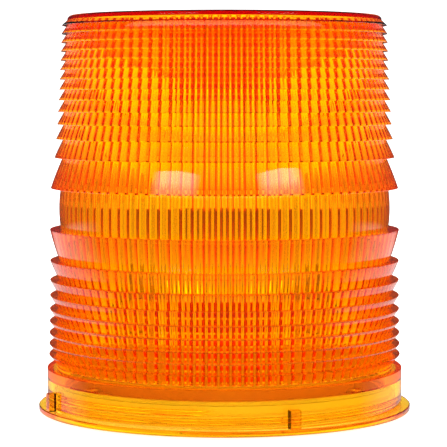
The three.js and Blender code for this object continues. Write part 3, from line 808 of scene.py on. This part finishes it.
def markCrisp(mesh, stack, lugRings):
    total = len(mesh.vertices)
    ringOf, columnOf, crisp = np.full(total, -1), np.full(total, -1), np.zeros(total, bool)
    for q, (start, columns) in enumerate(stack.starts):
        ringOf[start:start + columns] = q
        columnOf[start:start + columns] = np.arange(columns)
        crisp[start:start + columns] = stack.crisp[q]
    ends = np.empty(len(mesh.edges) * 2, np.int32)
    mesh.edges.foreach_get("vertices", ends)
    a, b = ends.reshape(-1, 2).T
    sharp = (ringOf[a] == ringOf[b]) & (ringOf[a] >= 0) & crisp[a]
    corners = [(lens["lugAngle"] + k * 360 // lens["lugCount"] + d) % 360
               for k in range(lens["lugCount"]) for d in lugColumns]
    onLug = np.isin(ringOf, lugRings) & np.isin(columnOf, corners)
    sharp |= onLug[a] & onLug[b]
    mesh.attributes.new("sharp_edge", "BOOLEAN", "EDGE").data.foreach_set("value", sharp)


def fluteWave(t):
    return 0.5 - 0.5 * np.cos(2 * math.pi * t)


def buildLens():
    n = lens["columns"]
    m = lens["flutes"] * lens["fluteSteps"]
    stack = RingStack()
    # columns gather at the lugs' sides
    degrees = np.arange(n) * 360.0 / n
    onLug = np.zeros(n, bool)
    for k in range(lens["lugCount"]):
        centre = lens["lugAngle"] + k * 360 // lens["lugCount"]
        for step, (offset, proud) in lugColumns.items():
            column = (centre + step) % n
            degrees[column] = centre % 360 + offset
            onLug[column] = proud
    angles = np.radians(degrees)
    first = last = None
    lugRings = []
    for r, z, crisp, share in outerProfile():
        radii = np.where(onLug & (share > 0), lens["lugR"], r)
        start = stack.ring(radii, z, n, crisp, angles)
        if lens["flangeH"] <= z <= lens["lugTop"] and r == lens["skirtR"]:
            lugRings.append(len(stack.starts) - 1)
        if last is None:
            first = start
        else:
            stack.join(last, start, n)
        last = start
    stack.fan(last, stack.point(lens["height"] - lens["dish"]), n, True)
    # the ceiling
    ceiling = lens["height"] - lens["wall"]
    inside = innerR(lens["height"])
    ease = lens["ceilingEase"]
    centre = stack.point(ceiling - lens["dish"])
    last = stack.ring(inside * 0.5, ceiling - lens["dish"] * 0.5, n)
    stack.fan(last, centre, n, False)
    for r, z in [(inside - ease, ceiling), (inside, ceiling - ease)]:
        last = stack.onward(last, r, z, n, True)
    # the fluted wall, then the plain band under it
    top = ceiling - ease - lens["fluteRunOut"]
    wave = fluteWave(np.arange(m) % lens["fluteSteps"] / lens["fluteSteps"])
    slope = (inside - innerR(lens["shoulder"])) / (ceiling - ease - lens["shoulder"])

    def wallR(z):
        return innerR(lens["shoulder"]) + slope * (z - lens["shoulder"])

    start = stack.ring(wallR(top) - lens["fluteDepth"] * wave, top, m, True)
    stack.stitch(last, n, start, m, True)
    last = start
    for z in np.linspace(top, lens["fluteLow"], lens["fluteRings"])[1:]:
        last = stack.onward(last, wallR(z) - lens["fluteDepth"] * wave, z, m, z == lens["fluteLow"])
    plain = lens["fluteLow"] - lens["fluteRunOut"]
    start = stack.ring(wallR(plain), plain, n, True)
    stack.stitch(start, n, last, m, False)
    last = start
    for r, z in [(wallR(lens["shoulder"]), lens["shoulder"]), (lens["boreR"], lens["shoulder"])]:
        last = stack.onward(last, r, z, n, True)
    # the threaded bore
    edge = lens["threadEdge"]
    for z in np.linspace(lens["shoulder"] - edge, edge, lens["threadRings"]):
        last = stack.onward(last, threadBore(z, n), z, n)
    stack.join(last, first, n)
    points = np.concatenate(stack.points)
    points[:, 2] += lens["lift"]
    mesh = meshFrom("lensBody", points, stack.faces)
    markCrisp(mesh, stack, lugRings)
    return addPiece("lensBody", mesh, "amber", "lens", "amber_lens", "lens")


# cutters run this far past what they cut, in millimetres
past = 1.0

base = {
    "low": 1.3, "floor": 4.3, "rim": 10.4, "wallIn": 58.6, "rimEase": 0.6, "floorEase": 1.2, "rings": 44,
    "inletR": 7.0, "inletEase": 0.5, "inletStep": 0.4,
    "bossCircle": 53.1, "bossR": 3.4, "bossTop": 8.3,
    "pillarCircle": 37.0, "pillarR": 3.2, "pillarTop": 10.9,
    "postRoot": 0.6, "postFlare": 0.3, "postEase": 0.3, "postSegments": 48,
    "angles": (90, 210, 330), "pilotR": 1.3, "pilotLow": 3.0,
    "holeCircle": 54.0, "holeR": 2.8, "holeAngles": (30, 150, 270), "holeSegments": 48,
}


# a white cup with the male thread outside, bosses and pillars inside, and holes through its floor
def buildBase():
    b = base
    n = lens["columns"]
    lead = threads["outerLead"]
    middle = lens["lift"] + threads["innerStart"] + threads["pitch"] / 2
    height = threads["outerCrest"] - threads["core"]
    stack = RingStack()
    last = first = stack.ring(b["inletR"] + b["inletStep"], b["low"], n, True)
    for z in np.linspace(b["low"], b["rim"], b["rings"]):
        up = ridge(z, n, middle, lead, threads["outerTurns"] + lead, threads["outerLand"], height)
        last = stack.onward(last, threads["core"] + up, z, n)
    inner = eased([
        (b["wallIn"], b["rim"], b["rimEase"]), (b["wallIn"], b["floor"], b["floorEase"]),
        (b["inletR"], b["floor"], b["inletEase"]), (b["inletR"], b["low"] + b["inletStep"]),
    ])
    for r, z in inner:
        last = stack.onward(last, r, z, n)
    stack.join(last, first, n)
    posts = (
        (b["bossCircle"], b["bossR"], b["bossTop"]),
        (b["pillarCircle"], b["pillarR"], b["pillarTop"]),
    )
    root = b["floor"] - b["postRoot"]
    joins, cuts = [], []
    for degrees in b["angles"]:
        for circle, radius, top in posts:
            spot = onCircle(circle, degrees)
            foot = radius + b["postFlare"]
            post = eased([(0, root), (foot, root), (radius, top, b["postEase"]), (0, top)])
            joins.append(turned(post, b["postSegments"], spot, joinStart))
            cuts.append(rod(b["pilotR"], b["pilotLow"], top + past, spot))
    for degrees in b["holeAngles"]:
        spot = onCircle(b["holeCircle"], degrees)
        cuts.append(rod(b["holeR"], 0, b["floor"] + past, spot, b["holeSegments"]))
    mesh = smoothed(carved((np.concatenate(stack.points), stack.faces), joins, cuts))
    addPiece("basePlate", mesh, "whitePolycarbonate", "base", "white_plastic", "base_plate")


seal = {
    "low": 10.5, "high": 12.3, "outside": 62.9, "inside": 60.6, "lip": 0.25, "lipHalf": 0.6,
    "ease": 0.3, "shoulderEase": 0.2, "segments": 240,
}


# a flat ring with one raised lip in the middle of its top
def buildSeal():
    q = seal
    middle, ledge = (q["inside"] + q["outside"]) / 2, q["high"] - q["lip"]
    mesh = turnedMesh("lensSeal", eased([
        (q["inside"], q["low"], q["ease"]), (q["outside"], q["low"], q["ease"]),
        (q["outside"], ledge, q["shoulderEase"]), (middle + q["lipHalf"], ledge),
        (middle, q["high"], q["ease"]), (middle - q["lipHalf"], ledge),
        (q["inside"], ledge, q["shoulderEase"]),
    ]), q["segments"])
    addPiece("lensSeal", mesh, "milkySilicone", "seal_ring", "clear_silicone", "lens_seal")


gasket = {"inside": 11.0, "outside": 61.0, "height": 1.2, "ease": 0.2, "holeR": 3.0, "segments": 180}


def buildGasket():
    q = gasket
    high, ease = q["height"], q["ease"]
    pad = eased([
        (q["inside"], 0, ease), (q["outside"], 0, ease),
        (q["outside"], high, ease), (q["inside"], high, ease),
    ])
    spots = [onCircle(base["holeCircle"], degrees) for degrees in base["holeAngles"]]
    holes = [rod(q["holeR"], -past, high + past, spot, base["holeSegments"]) for spot in spots]
    mesh = smoothed(carved(turned(pad, q["segments"]), (), holes))
    addPiece("mountingGasket", mesh, "paleGasket", "base", "pale_silicone", "mounting_gasket")


grommet = {
    "boreR": 3.2, "neckR": 6.7, "lip": 2.5, "noseR": 4.7,
    "low": 0.2, "lipTop": 1.2, "neckTop": 4.4, "high": 7.3,
    "ease": 0.3, "noseEase": 0.4, "segments": 72,
}


# a rubber sleeve for the lead: a lip on each side of the base's floor, and a cone above
def buildGrommet():
    q = grommet
    lipR = q["neckR"] + q["lip"]
    mesh = turnedMesh("cableGrommet", eased([
        (q["boreR"], q["low"], q["ease"]), (lipR, q["low"], q["ease"]), (lipR, q["lipTop"], q["ease"]),
        (q["neckR"], q["lipTop"]), (q["neckR"], q["neckTop"]), (lipR, q["neckTop"], q["noseEase"]),
        (q["noseR"], q["high"], q["noseEase"]), (q["boreR"], q["high"], q["ease"]),
    ]), q["segments"])
    addPiece("cableGrommet", mesh, "blackRubber", "base", "black_rubber", "cable_grommet")


# a screw's own sizes, the recesses in its head, and the heights of the three seats
screw = {
    "headR": 2.8, "headH": 1.7, "shankR": 1.0, "longShank": 7.0, "shortShank": 6.0,
    "tipShare": 0.4, "tipH": 1.0, "rimEase": 0.2, "domeFoot": 0.55, "domeFootEase": 0.6,
    "domeTop": 0.6, "domeTopEase": 0.5, "segments": 40,
    "crossArm": 1.5, "crossHalf": 0.32, "crossDeep": 1.0, "crossTurn": 25.0,
    "slotHalf": 0.25, "slotDeep": 0.5, "slotTurn": 35.0, "slotShank": 0.6,
    "boardSeat": 12.7, "coverSeat": 10.5, "socketSeat": 41.2,
}


# a domed head on a shank; the recess is an outline in plan, sunk into the head
def screwMesh(radius, height, shankR, length, recess, deep):
    q = screw
    outline = eased([
        (0, -length), (shankR * q["tipShare"], -length), (shankR, -length + q["tipH"]), (shankR, 0),
        (radius, 0, q["rimEase"]), (radius, height * q["domeFoot"], q["domeFootEase"]),
        (radius * q["domeTop"], height, q["domeTopEase"]), (0, height),
    ])
    cutter = prism(recess, height - deep, height + past)
    return smoothed(carved(turned(outline, q["segments"]), (), [cutter]))


def crossRecess(arm, half):
    quarter = [(arm, -half), (arm, half), (half, half)]
    turns = [Matrix.Rotation(math.radians(90 * k), 2) for k in range(4)]
    return [tuple(turn @ Vector(spot)) for turn in turns for spot in quarter]


def slotRecess(reach, half):
    return [(-reach, -half), (reach, -half), (reach, half), (-reach, half)]


def seated(pattern, x, y, z, degrees):
    mesh = pattern.copy()
    place = Matrix.Translation((x * mm, y * mm, z * mm)) @ Matrix.Rotation(math.radians(degrees), 4, "Z")
    mesh.transform(place)
    return mesh


# one screw to each spot, each turned a little further than the one before
def addScrews(name, node, pattern, circle, angles, seat):
    for k, degrees in enumerate(angles, 1):
        mesh = seated(pattern, *onCircle(circle, degrees), seat, screw["crossTurn"] * k)
        addPiece(f"{name}{k}", mesh, "zincPlate", "base", "plated_steel", f"{node}_{k}")


def buildScrews():
    q = screw
    cross = crossRecess(q["crossArm"], q["crossHalf"])
    long = screwMesh(q["headR"], q["headH"], q["shankR"], q["longShank"], cross, q["crossDeep"])
    short = screwMesh(q["headR"], q["headH"], q["shankR"], q["shortShank"], cross, q["crossDeep"])
    addScrews("boardScrew", "board_screw", long, base["pillarCircle"], base["angles"], q["boardSeat"])
    addScrews("coverScrew", "cover_screw", short, base["bossCircle"], base["angles"], q["coverSeat"])
    circle, angles = cover["screwCircle"], cover["screwAngles"]
    addScrews("socketScrew", "socket_screw", short, circle, angles, q["socketSeat"])
    for k in (1, 2):
        node = f"terminal_screw_{k}"
        low, high = boxOf(node)
        x, y = (low[:2] + high[:2]) / 2
        radius, half = (high[0] - low[0]) / 2, (high[2] - low[2]) / 2
        recess = slotRecess(radius * 2, q["slotHalf"])
        head = screwMesh(radius, half, radius * q["slotShank"], half, recess, q["slotDeep"])
        mesh = seated(head, x, y, low[2] + half, q["slotTurn"] * k)
        addPiece(f"terminalScrew{k}", mesh, "zincPlate", "base", slotOf(node), node)


cover = {
    "low": 4.4, "top": 38.0, "footR": 49.2, "headR": 46.5, "wall": 2.0, "footEase": 0.3,
    "corner": 3.0, "innerCorner": 2.0, "cornerSteps": 6, "leadR": 6.0, "leadEase": 0.4, "segments": 180,
    "earR": 5.0, "earLow": 8.4, "earTop": 10.4, "earLowEase": 0.3, "earTopEase": 0.4, "earSegments": 48,
    "earTrim": 0.6, "trimLowGap": 0.45, "trimHighGap": 0.55,
    "holeR": 1.6, "screwCircle": 16.5, "screwAngles": (0, 180),
}


# a white drum, open below, with three ears; one wide cutter takes the ears' inner ends out of it
def buildCover():
    q = cover
    low, top, wall = q["low"], q["top"], q["wall"]
    drum = eased([
        (q["footR"] - wall, low, q["footEase"]), (q["footR"], low, q["footEase"]),
        (q["headR"], top, q["corner"]), (q["leadR"], top, q["leadEase"]),
        (q["leadR"], top - wall, q["leadEase"]), (q["headR"] - wall, top - wall, q["innerCorner"]),
    ], q["cornerSteps"])
    ear = eased([
        (0, q["earLow"]), (q["earR"], q["earLow"], q["earLowEase"]),
        (q["earR"], q["earTop"], q["earTopEase"]), (0, q["earTop"]),
    ])
    trimLow, trimTop = low - past, q["earTop"] + q["earTrim"]
    trim = turned([
        (0, trimLow), (q["footR"] - wall - q["trimLowGap"], trimLow),
        (q["footR"] - wall - q["trimHighGap"], trimTop), (0, trimTop),
    ], q["segments"])
    ears, cuts = [], [trim]
    for degrees in base["angles"]:
        spot = onCircle(base["bossCircle"], degrees)
        ears.append(turned(ear, q["earSegments"], spot, joinStart))
        cuts.append(rod(q["holeR"], q["earLow"] - past, q["earTop"] + past, spot))
    for degrees in q["screwAngles"]:
        spot = onCircle(q["screwCircle"], degrees)
        cuts.append(rod(base["pilotR"], top - wall - past, top + past, spot))
    mesh = smoothed(carved(turned(drum, q["segments"]), ears, cuts))
    addPiece("innerCover", mesh, "whitePolycarbonate", "base", "white_plastic", "inner_cover")


pins = {
    "circle": 7.0, "angles": (90, 210, 330), "radius": 1.2, "low": 44.3, "high": 55.2,
    "tipEase": 0.9, "topEase": 0.2, "tipSteps": 5, "segments": 36,
}

socket = {
    "flangeR": 19.0, "low": 38.1, "flangeH": 3.0, "bodyR": 13.0, "draft": 0.6, "top": 52.0,
    "lowEase": 0.3, "flangeEase": 0.6, "rootEase": 0.5, "topEase": 0.8, "pinGap": 0.3, "segments": 120,
}


def buildSocket():
    q = socket
    ledge = q["low"] + q["flangeH"]
    outline = eased([
        (0, q["low"]), (q["flangeR"], q["low"], q["lowEase"]), (q["flangeR"], ledge, q["flangeEase"]),
        (q["bodyR"] + q["draft"], ledge, q["rootEase"]), (q["bodyR"], q["top"], q["topEase"]),
        (0, q["top"]),
    ])
    holes = []
    for degrees in pins["angles"]:
        spot = onCircle(pins["circle"], degrees)
        holes.append(rod(pins["radius"] + q["pinGap"], pins["low"] - past, q["top"] + past, spot))
    for degrees in cover["screwAngles"]:
        spot = onCircle(cover["screwCircle"], degrees)
        holes.append(rod(cover["holeR"], q["low"] - past, ledge + past, spot))
    mesh = smoothed(carved(turned(outline, q["segments"]), (), holes))
    addPiece("tubeSocket", mesh, "ivoryPhenolic", "base", "ivory_phenolic", "tube_socket")


plug = {
    "low": 52.3, "top": 60.0, "radius": 13.5, "seatR": 12.5, "seatH": 3.0,
    "lowEase": 1.0, "topEase": 0.2, "seatEase": 0.5, "wellGap": 0.25, "wellH": 3.0, "segments": 120,
}


def buildPlug():
    q = plug
    seatTop = q["top"] + q["seatH"]
    outline = eased([
        (0, q["low"]), (q["radius"], q["low"], q["lowEase"]), (q["radius"], q["top"], q["topEase"]),
        (q["seatR"], q["top"]), (q["seatR"], seatTop, q["seatEase"]), (0, seatTop),
    ])
    spots = [onCircle(pins["circle"], degrees) for degrees in pins["angles"]]
    wellR, wellTop = pins["radius"] + q["wellGap"], q["low"] + q["wellH"]
    wells = [rod(wellR, q["low"] - past, wellTop, spot) for spot in spots]
    mesh = smoothed(carved(turned(outline, q["segments"]), (), wells))
    addPiece("tubeBase", mesh, "ivoryPhenolic", "flash_tube", "ivory_phenolic", "tube_base")


def buildPins():
    q = pins
    outline = eased([
        (0, q["low"]), (q["radius"], q["low"], q["tipEase"]),
        (q["radius"], q["high"], q["topEase"]), (0, q["high"]),
    ], q["tipSteps"])
    for k, degrees in enumerate(q["angles"], 1):
        mesh = turnedMesh("pin", outline, q["segments"], onCircle(q["circle"], degrees))
        addPiece(f"tubePin{k}", mesh, "tinnedPin", "flash_tube", "plated_steel", f"tube_pin_{k}")


envelope = {
    "radius": 14.0, "wall": 1.2, "low": 60.1, "shoulder": 84.0, "rimH": 0.5, "rimInset": 0.35,
    "domeSteps": 17, "segments": 120,
}


# a glass dome: both sides of its wall end on the axis
def buildEnvelope():
    q = envelope
    hollow = q["radius"] - q["wall"]
    rim = q["low"] + q["rimH"]
    rise = np.linspace(0, math.pi / 2, q["domeSteps"])
    outside = [(q["radius"] * math.cos(a), q["shoulder"] + q["radius"] * math.sin(a)) for a in rise]
    inside = [(hollow * math.cos(a), q["shoulder"] + hollow * math.sin(a)) for a in rise[::-1]]
    lip = [
        (hollow, rim), (hollow + q["rimInset"], q["low"]),
        (q["radius"] - q["rimInset"], q["low"]), (q["radius"], rim),
    ]
    mesh = turnedMesh("envelope", lip + outside + inside, q["segments"])
    addPiece("glassEnvelope", mesh, "blownGlass", "flash_tube", "clear_glass", "glass_envelope")


xenon = {"radius": 2.6, "wall": 0.7, "leg": 5.5, "foot": 63.4, "bend": 82.0, "bendSteps": 33, "sides": 40}


# a hollow tube bent into a U that stands upside down on its two legs
def buildXenon():
    q = xenon
    bend = np.linspace(0, math.pi, q["bendSteps"])
    arch = [(-q["leg"] * math.cos(a), 0, q["bend"] + q["leg"] * math.sin(a)) for a in bend]
    route = [(-q["leg"], 0, q["foot"])] + arch + [(q["leg"], 0, q["foot"])]
    mesh = smoothed(meshFrom("xenonTube", *pipe(route, q["radius"], q["radius"] - q["wall"], q["sides"])))
    addPiece("xenonTube", mesh, "tubeGlass", "flash_tube", "clear_glass", "xenon_tube")


caps = {
    "low": 63.5, "height": 4.0, "gap": 0.3, "outerGap": 0.8, "neckH": 0.8, "neckInset": 0.2,
    "innerEase": 0.1, "lowEase": 0.15, "topEase": 0.2, "segments": 60,
}


def buildCaps():
    q = caps
    low, high = q["low"], q["low"] + q["height"]
    inner, outer = xenon["radius"] + q["gap"], xenon["radius"] + q["outerGap"]
    outline = eased([
        (inner, low, q["innerEase"]), (outer, low, q["lowEase"]), (outer, high - q["neckH"]),
        (outer - q["neckInset"], high, q["topEase"]), (inner, high, q["innerEase"]),
    ])
    for k, side in enumerate((-1, 1), 1):
        node = f"electrode_cap_{k}"
        mesh = turnedMesh("cap", outline, q["segments"], (side * xenon["leg"], 0))
        addPiece(f"electrodeCap{k}", mesh, "tinnedPin", "flash_tube", "plated_steel", node)


board = {
    "inside": 7.0, "outside": 44.0, "low": 11.0, "high": 12.6, "innerEase": 0.1, "outerEase": 0.15,
    "easeSteps": 2, "holeR": 1.4, "segments": 180, "edgeSlope": 0.6,
}


def buildBoard():
    q = board
    outline = eased([
        (q["inside"], q["low"], q["innerEase"]), (q["outside"], q["low"], q["outerEase"]),
        (q["outside"], q["high"], q["outerEase"]), (q["inside"], q["high"], q["innerEase"]),
    ], q["easeSteps"])
    spots = [onCircle(base["pillarCircle"], degrees) for degrees in base["angles"]]
    holes = [rod(q["holeR"], q["low"] - past, q["high"] + past, spot) for spot in spots]
    mesh = smoothed(carved(turned(outline, q["segments"]), (), holes))
    addPiece("circuitBoard", mesh, "solderMask", "base", "board_laminate", "circuit_board")
    addFinish(mesh, "laminateEdge", lambda centre, normal: abs(normal.z) < q["edgeSlope"])


capacitor = {
    "vent": 0.35, "ventR": 0.72, "sleeveR": 0.8, "ventEase": 0.2, "lowEase": 1.0,
    "crimp": 0.9, "crimpAt": 3.2, "crimpHalf": 1.2, "crimpEase": 0.6, "crimpSideEase": 0.5,
    "topEase": 0.7, "endR": 0.74, "endEase": 0.2, "bungR": 5.2, "bungDeep": 0.6, "bungEase": 0.3,
    "easeSteps": 5, "segments": 96, "stripeAt": 128.0, "stripeHalf": 16.0, "stripeEnd": 1.0,
}


# a can on its side in a shrunk sleeve: one end bare, a rubber bung in the other, a stripe along it
def buildCapacitor():
    q = capacitor
    low, high = boxOf("storage_capacitor")
    middle = (low + high) / 2
    half, r = (high[0] - low[0]) / 2, (high[2] - low[2]) / 2
    crimpAt = half - q["crimpAt"]
    outline = eased([
        (0, -half + q["vent"]), (r * q["ventR"], -half + q["vent"], q["ventEase"]),
        (r * q["sleeveR"], -half, q["ventEase"]), (r, -half, q["lowEase"]),
        (r, crimpAt - q["crimpHalf"], q["crimpSideEase"]), (r - q["crimp"], crimpAt, q["crimpEase"]),
        (r, crimpAt + q["crimpHalf"], q["crimpSideEase"]), (r, half, q["topEase"]),
        (r * q["endR"], half, q["endEase"]), (q["bungR"], half - q["bungDeep"], q["bungEase"]),
        (0, half - q["bungDeep"]),
    ], q["easeSteps"])
    mesh = smoothed(meshFrom("capacitor", *laid(*turned(outline, q["segments"]), "X", middle)))
    addPiece("storageCapacitor", mesh, "blueSleeve", "base", "capacitor_sleeve", "storage_capacitor")

    def atEnd(centre):
        return math.hypot(centre[1] - middle[1], centre[2] - middle[2]) < r * q["endR"]

    def onStripe(centre):
        x, y, z = centre - middle
        around = math.degrees(math.atan2(z, y))
        return abs(around - q["stripeAt"]) < q["stripeHalf"] and x < crimpAt - q["stripeEnd"]

    addFinish(mesh, "extrudedAluminium", lambda centre, normal: atEnd(centre) and centre[0] < middle[0])
    addFinish(mesh, "blackRubber", lambda centre, normal: atEnd(centre) and centre[0] >= middle[0])
    addFinish(mesh, "sleeveStripe", lambda centre, normal: onStripe(centre) and not atEnd(centre))


triggerCoil = {
    "flangeH": 1.2, "sunk": 0.9, "ridge": 0.16, "rings": 61,
    "segments": 72, "crispAngle": 60.0, "edge": 0.05,
}


# a bobbin with a winding between its two flanges, ridged turn by turn
def buildTriggerCoil():
    q = triggerCoil
    low, high = boxOf("trigger_coil")
    r = (high[0] - low[0]) / 2
    waist = r - q["sunk"]
    bottom, top = low[2] + q["flangeH"], high[2] - q["flangeH"]
    rise = np.linspace(bottom, top, q["rings"])
    turns = [(waist + q["ridge"] * abs(math.sin(math.pi * 0.5 * k)), z) for k, z in enumerate(rise)]
    outline = [(0, low[2]), (r, low[2]), (r, bottom), (waist, bottom)] + turns[1:-1]
    outline += [(waist, top), (r, top), (r, high[2]), (0, high[2])]
    points, faces = turned(outline, q["segments"], (low[:2] + high[:2]) / 2)
    mesh = smoothed(meshFrom("triggerCoil", points, faces), q["crispAngle"])
    addPiece("triggerCoil", mesh, "enamelledCopper", "base", "copper_winding", "trigger_coil")
    bottom, top = bottom + q["edge"], top - q["edge"]
    addFinish(mesh, "blackEpoxy", lambda centre, normal: not bottom < centre[2] < top)


choke = {
    "wireR": 0.42, "turns": 22, "turnSteps": 16, "wireSides": 2,
    "bedded": 1.6, "coreSides": 24, "segments": 72,
}


# one wire wound round a ring: its route circles the ring's section as it goes round
def buildChoke():
    q = choke
    low, high = boxOf("choke_coil")
    middle = (low + high) / 2
    section = (high[2] - low[2]) / 2
    ringR = (high[0] - low[0]) / 2 - section
    reach = section - q["wireR"]
    steps = q["turns"] * q["turnSteps"]
    route = []
    for k in range(steps):
        around, over = 2 * math.pi * k / steps, 2 * math.pi * q["turns"] * k / steps
        out = ringR + reach * math.cos(over)
        offset = (out * math.cos(around), out * math.sin(around), reach * math.sin(over))
        route.append(middle + offset)
    winding = wireMesh(route, q["wireR"], q["wireSides"])
    inside = section - q["bedded"] * q["wireR"]
    circle = np.linspace(0, 2 * math.pi, q["coreSides"] + 1)[:-1]
    ring = [(ringR + inside * math.cos(a), middle[2] + inside * math.sin(a)) for a in circle]
    core = meshFrom("chokeCore", *turned(ring, q["segments"], middle[:2]))
    joined = bmesh.new()
    joined.from_mesh(winding)
    joined.from_mesh(core)
    joined.to_mesh(winding)
    joined.free()
    bpy.data.meshes.remove(core)
    addPiece("chokeCoil", smoothed(winding), "enamelledCopper", "base", "copper_winding", "choke_coil")


fuse = {
    "cap": 5.0, "glassInset": 0.3, "endEase": 0.4, "capEase": 0.2,
    "easeSteps": 4, "segments": 64, "capMargin": 0.2,
}


# a glass barrel on its side with a metal cap at each end
def buildFuse():
    q = fuse
    low, high = boxOf("fuse")
    middle = (low + high) / 2
    half, r = (high[1] - low[1]) / 2, (high[0] - low[0]) / 2
    glassR, capAt = r - q["glassInset"], half - q["cap"]
    outline = eased([
        (0, -half), (r, -half, q["endEase"]), (r, -capAt, q["capEase"]), (glassR, -capAt),
        (glassR, capAt), (r, capAt, q["capEase"]), (r, half, q["endEase"]), (0, half),
    ], q["easeSteps"])
    mesh = smoothed(meshFrom("fuse", *laid(*turned(outline, q["segments"]), "Y", middle)))
    addPiece("glassFuse", mesh, "tubeGlass", "base", slotOf("fuse"), "fuse")
    capEnd = capAt - q["capMargin"]
    addFinish(mesh, "tinnedPin", lambda centre, normal: abs(centre[1] - middle[1]) > capEnd)


# parts whose shape is right as it stands: node, its finish, and how far its edges are softened
carriedOver = {
    "transformer_core": ("darkFerrite", 0.3), "transformer_winding": ("windingTape", 0.8),
    "heat_sink": ("extrudedAluminium", 0.15), "power_transistor": ("blackEpoxy", 0.3),
    "timer_chip": ("blackEpoxy", 0.2), "terminal_block": ("greenPlastic", 0.3),
    "fuse_clip_1": ("tinnedPin", 0.1), "fuse_clip_2": ("tinnedPin", 0.1),
}
softening = {"mergeWithin": 0.00001, "segments": 3, "cornerFrom": 40.0}


def finishCarried():
    for node, (kind, soft) in carriedOver.items():
        piece = bpy.data.objects[node]
        for place in piece.material_slots:
            place.material = finish[kind]
        if not piece.material_slots:
            piece.data.materials.append(finish[kind])
        piece.modifiers.new("oneSkin", "WELD").merge_threshold = softening["mergeWithin"]
        edge = piece.modifiers.new("softEdge", "BEVEL")
        edge.width = soft * mm
        edge.segments = softening["segments"]
        edge.limit_method = "ANGLE"
        edge.angle_limit = math.radians(softening["cornerFrom"])


addCamera(view)
addSky(studio)
for number, (azimuth, elevation, roll) in enumerate(studio["softboxes"], 1):
    addSoftbox(studio, number, azimuth, elevation, roll)
addFill(studio)
addFloor(studio)
tuneRender(studio)
print("view and light ready")
lensPiece = buildLens()
print("lens built:", len(lensPiece.data.polygons), "faces")
buildBase()
buildSeal()
buildGasket()
buildGrommet()
print("base and seals built")
buildScrews()
buildCover()
print("cover and screws built")
buildSocket()
buildPlug()
buildPins()
buildEnvelope()
buildXenon()
buildCaps()
print("flash tube built")
buildBoard()
buildCapacitor()
buildTriggerCoil()
buildChoke()
buildFuse()
finishCarried()
print("electronics built")
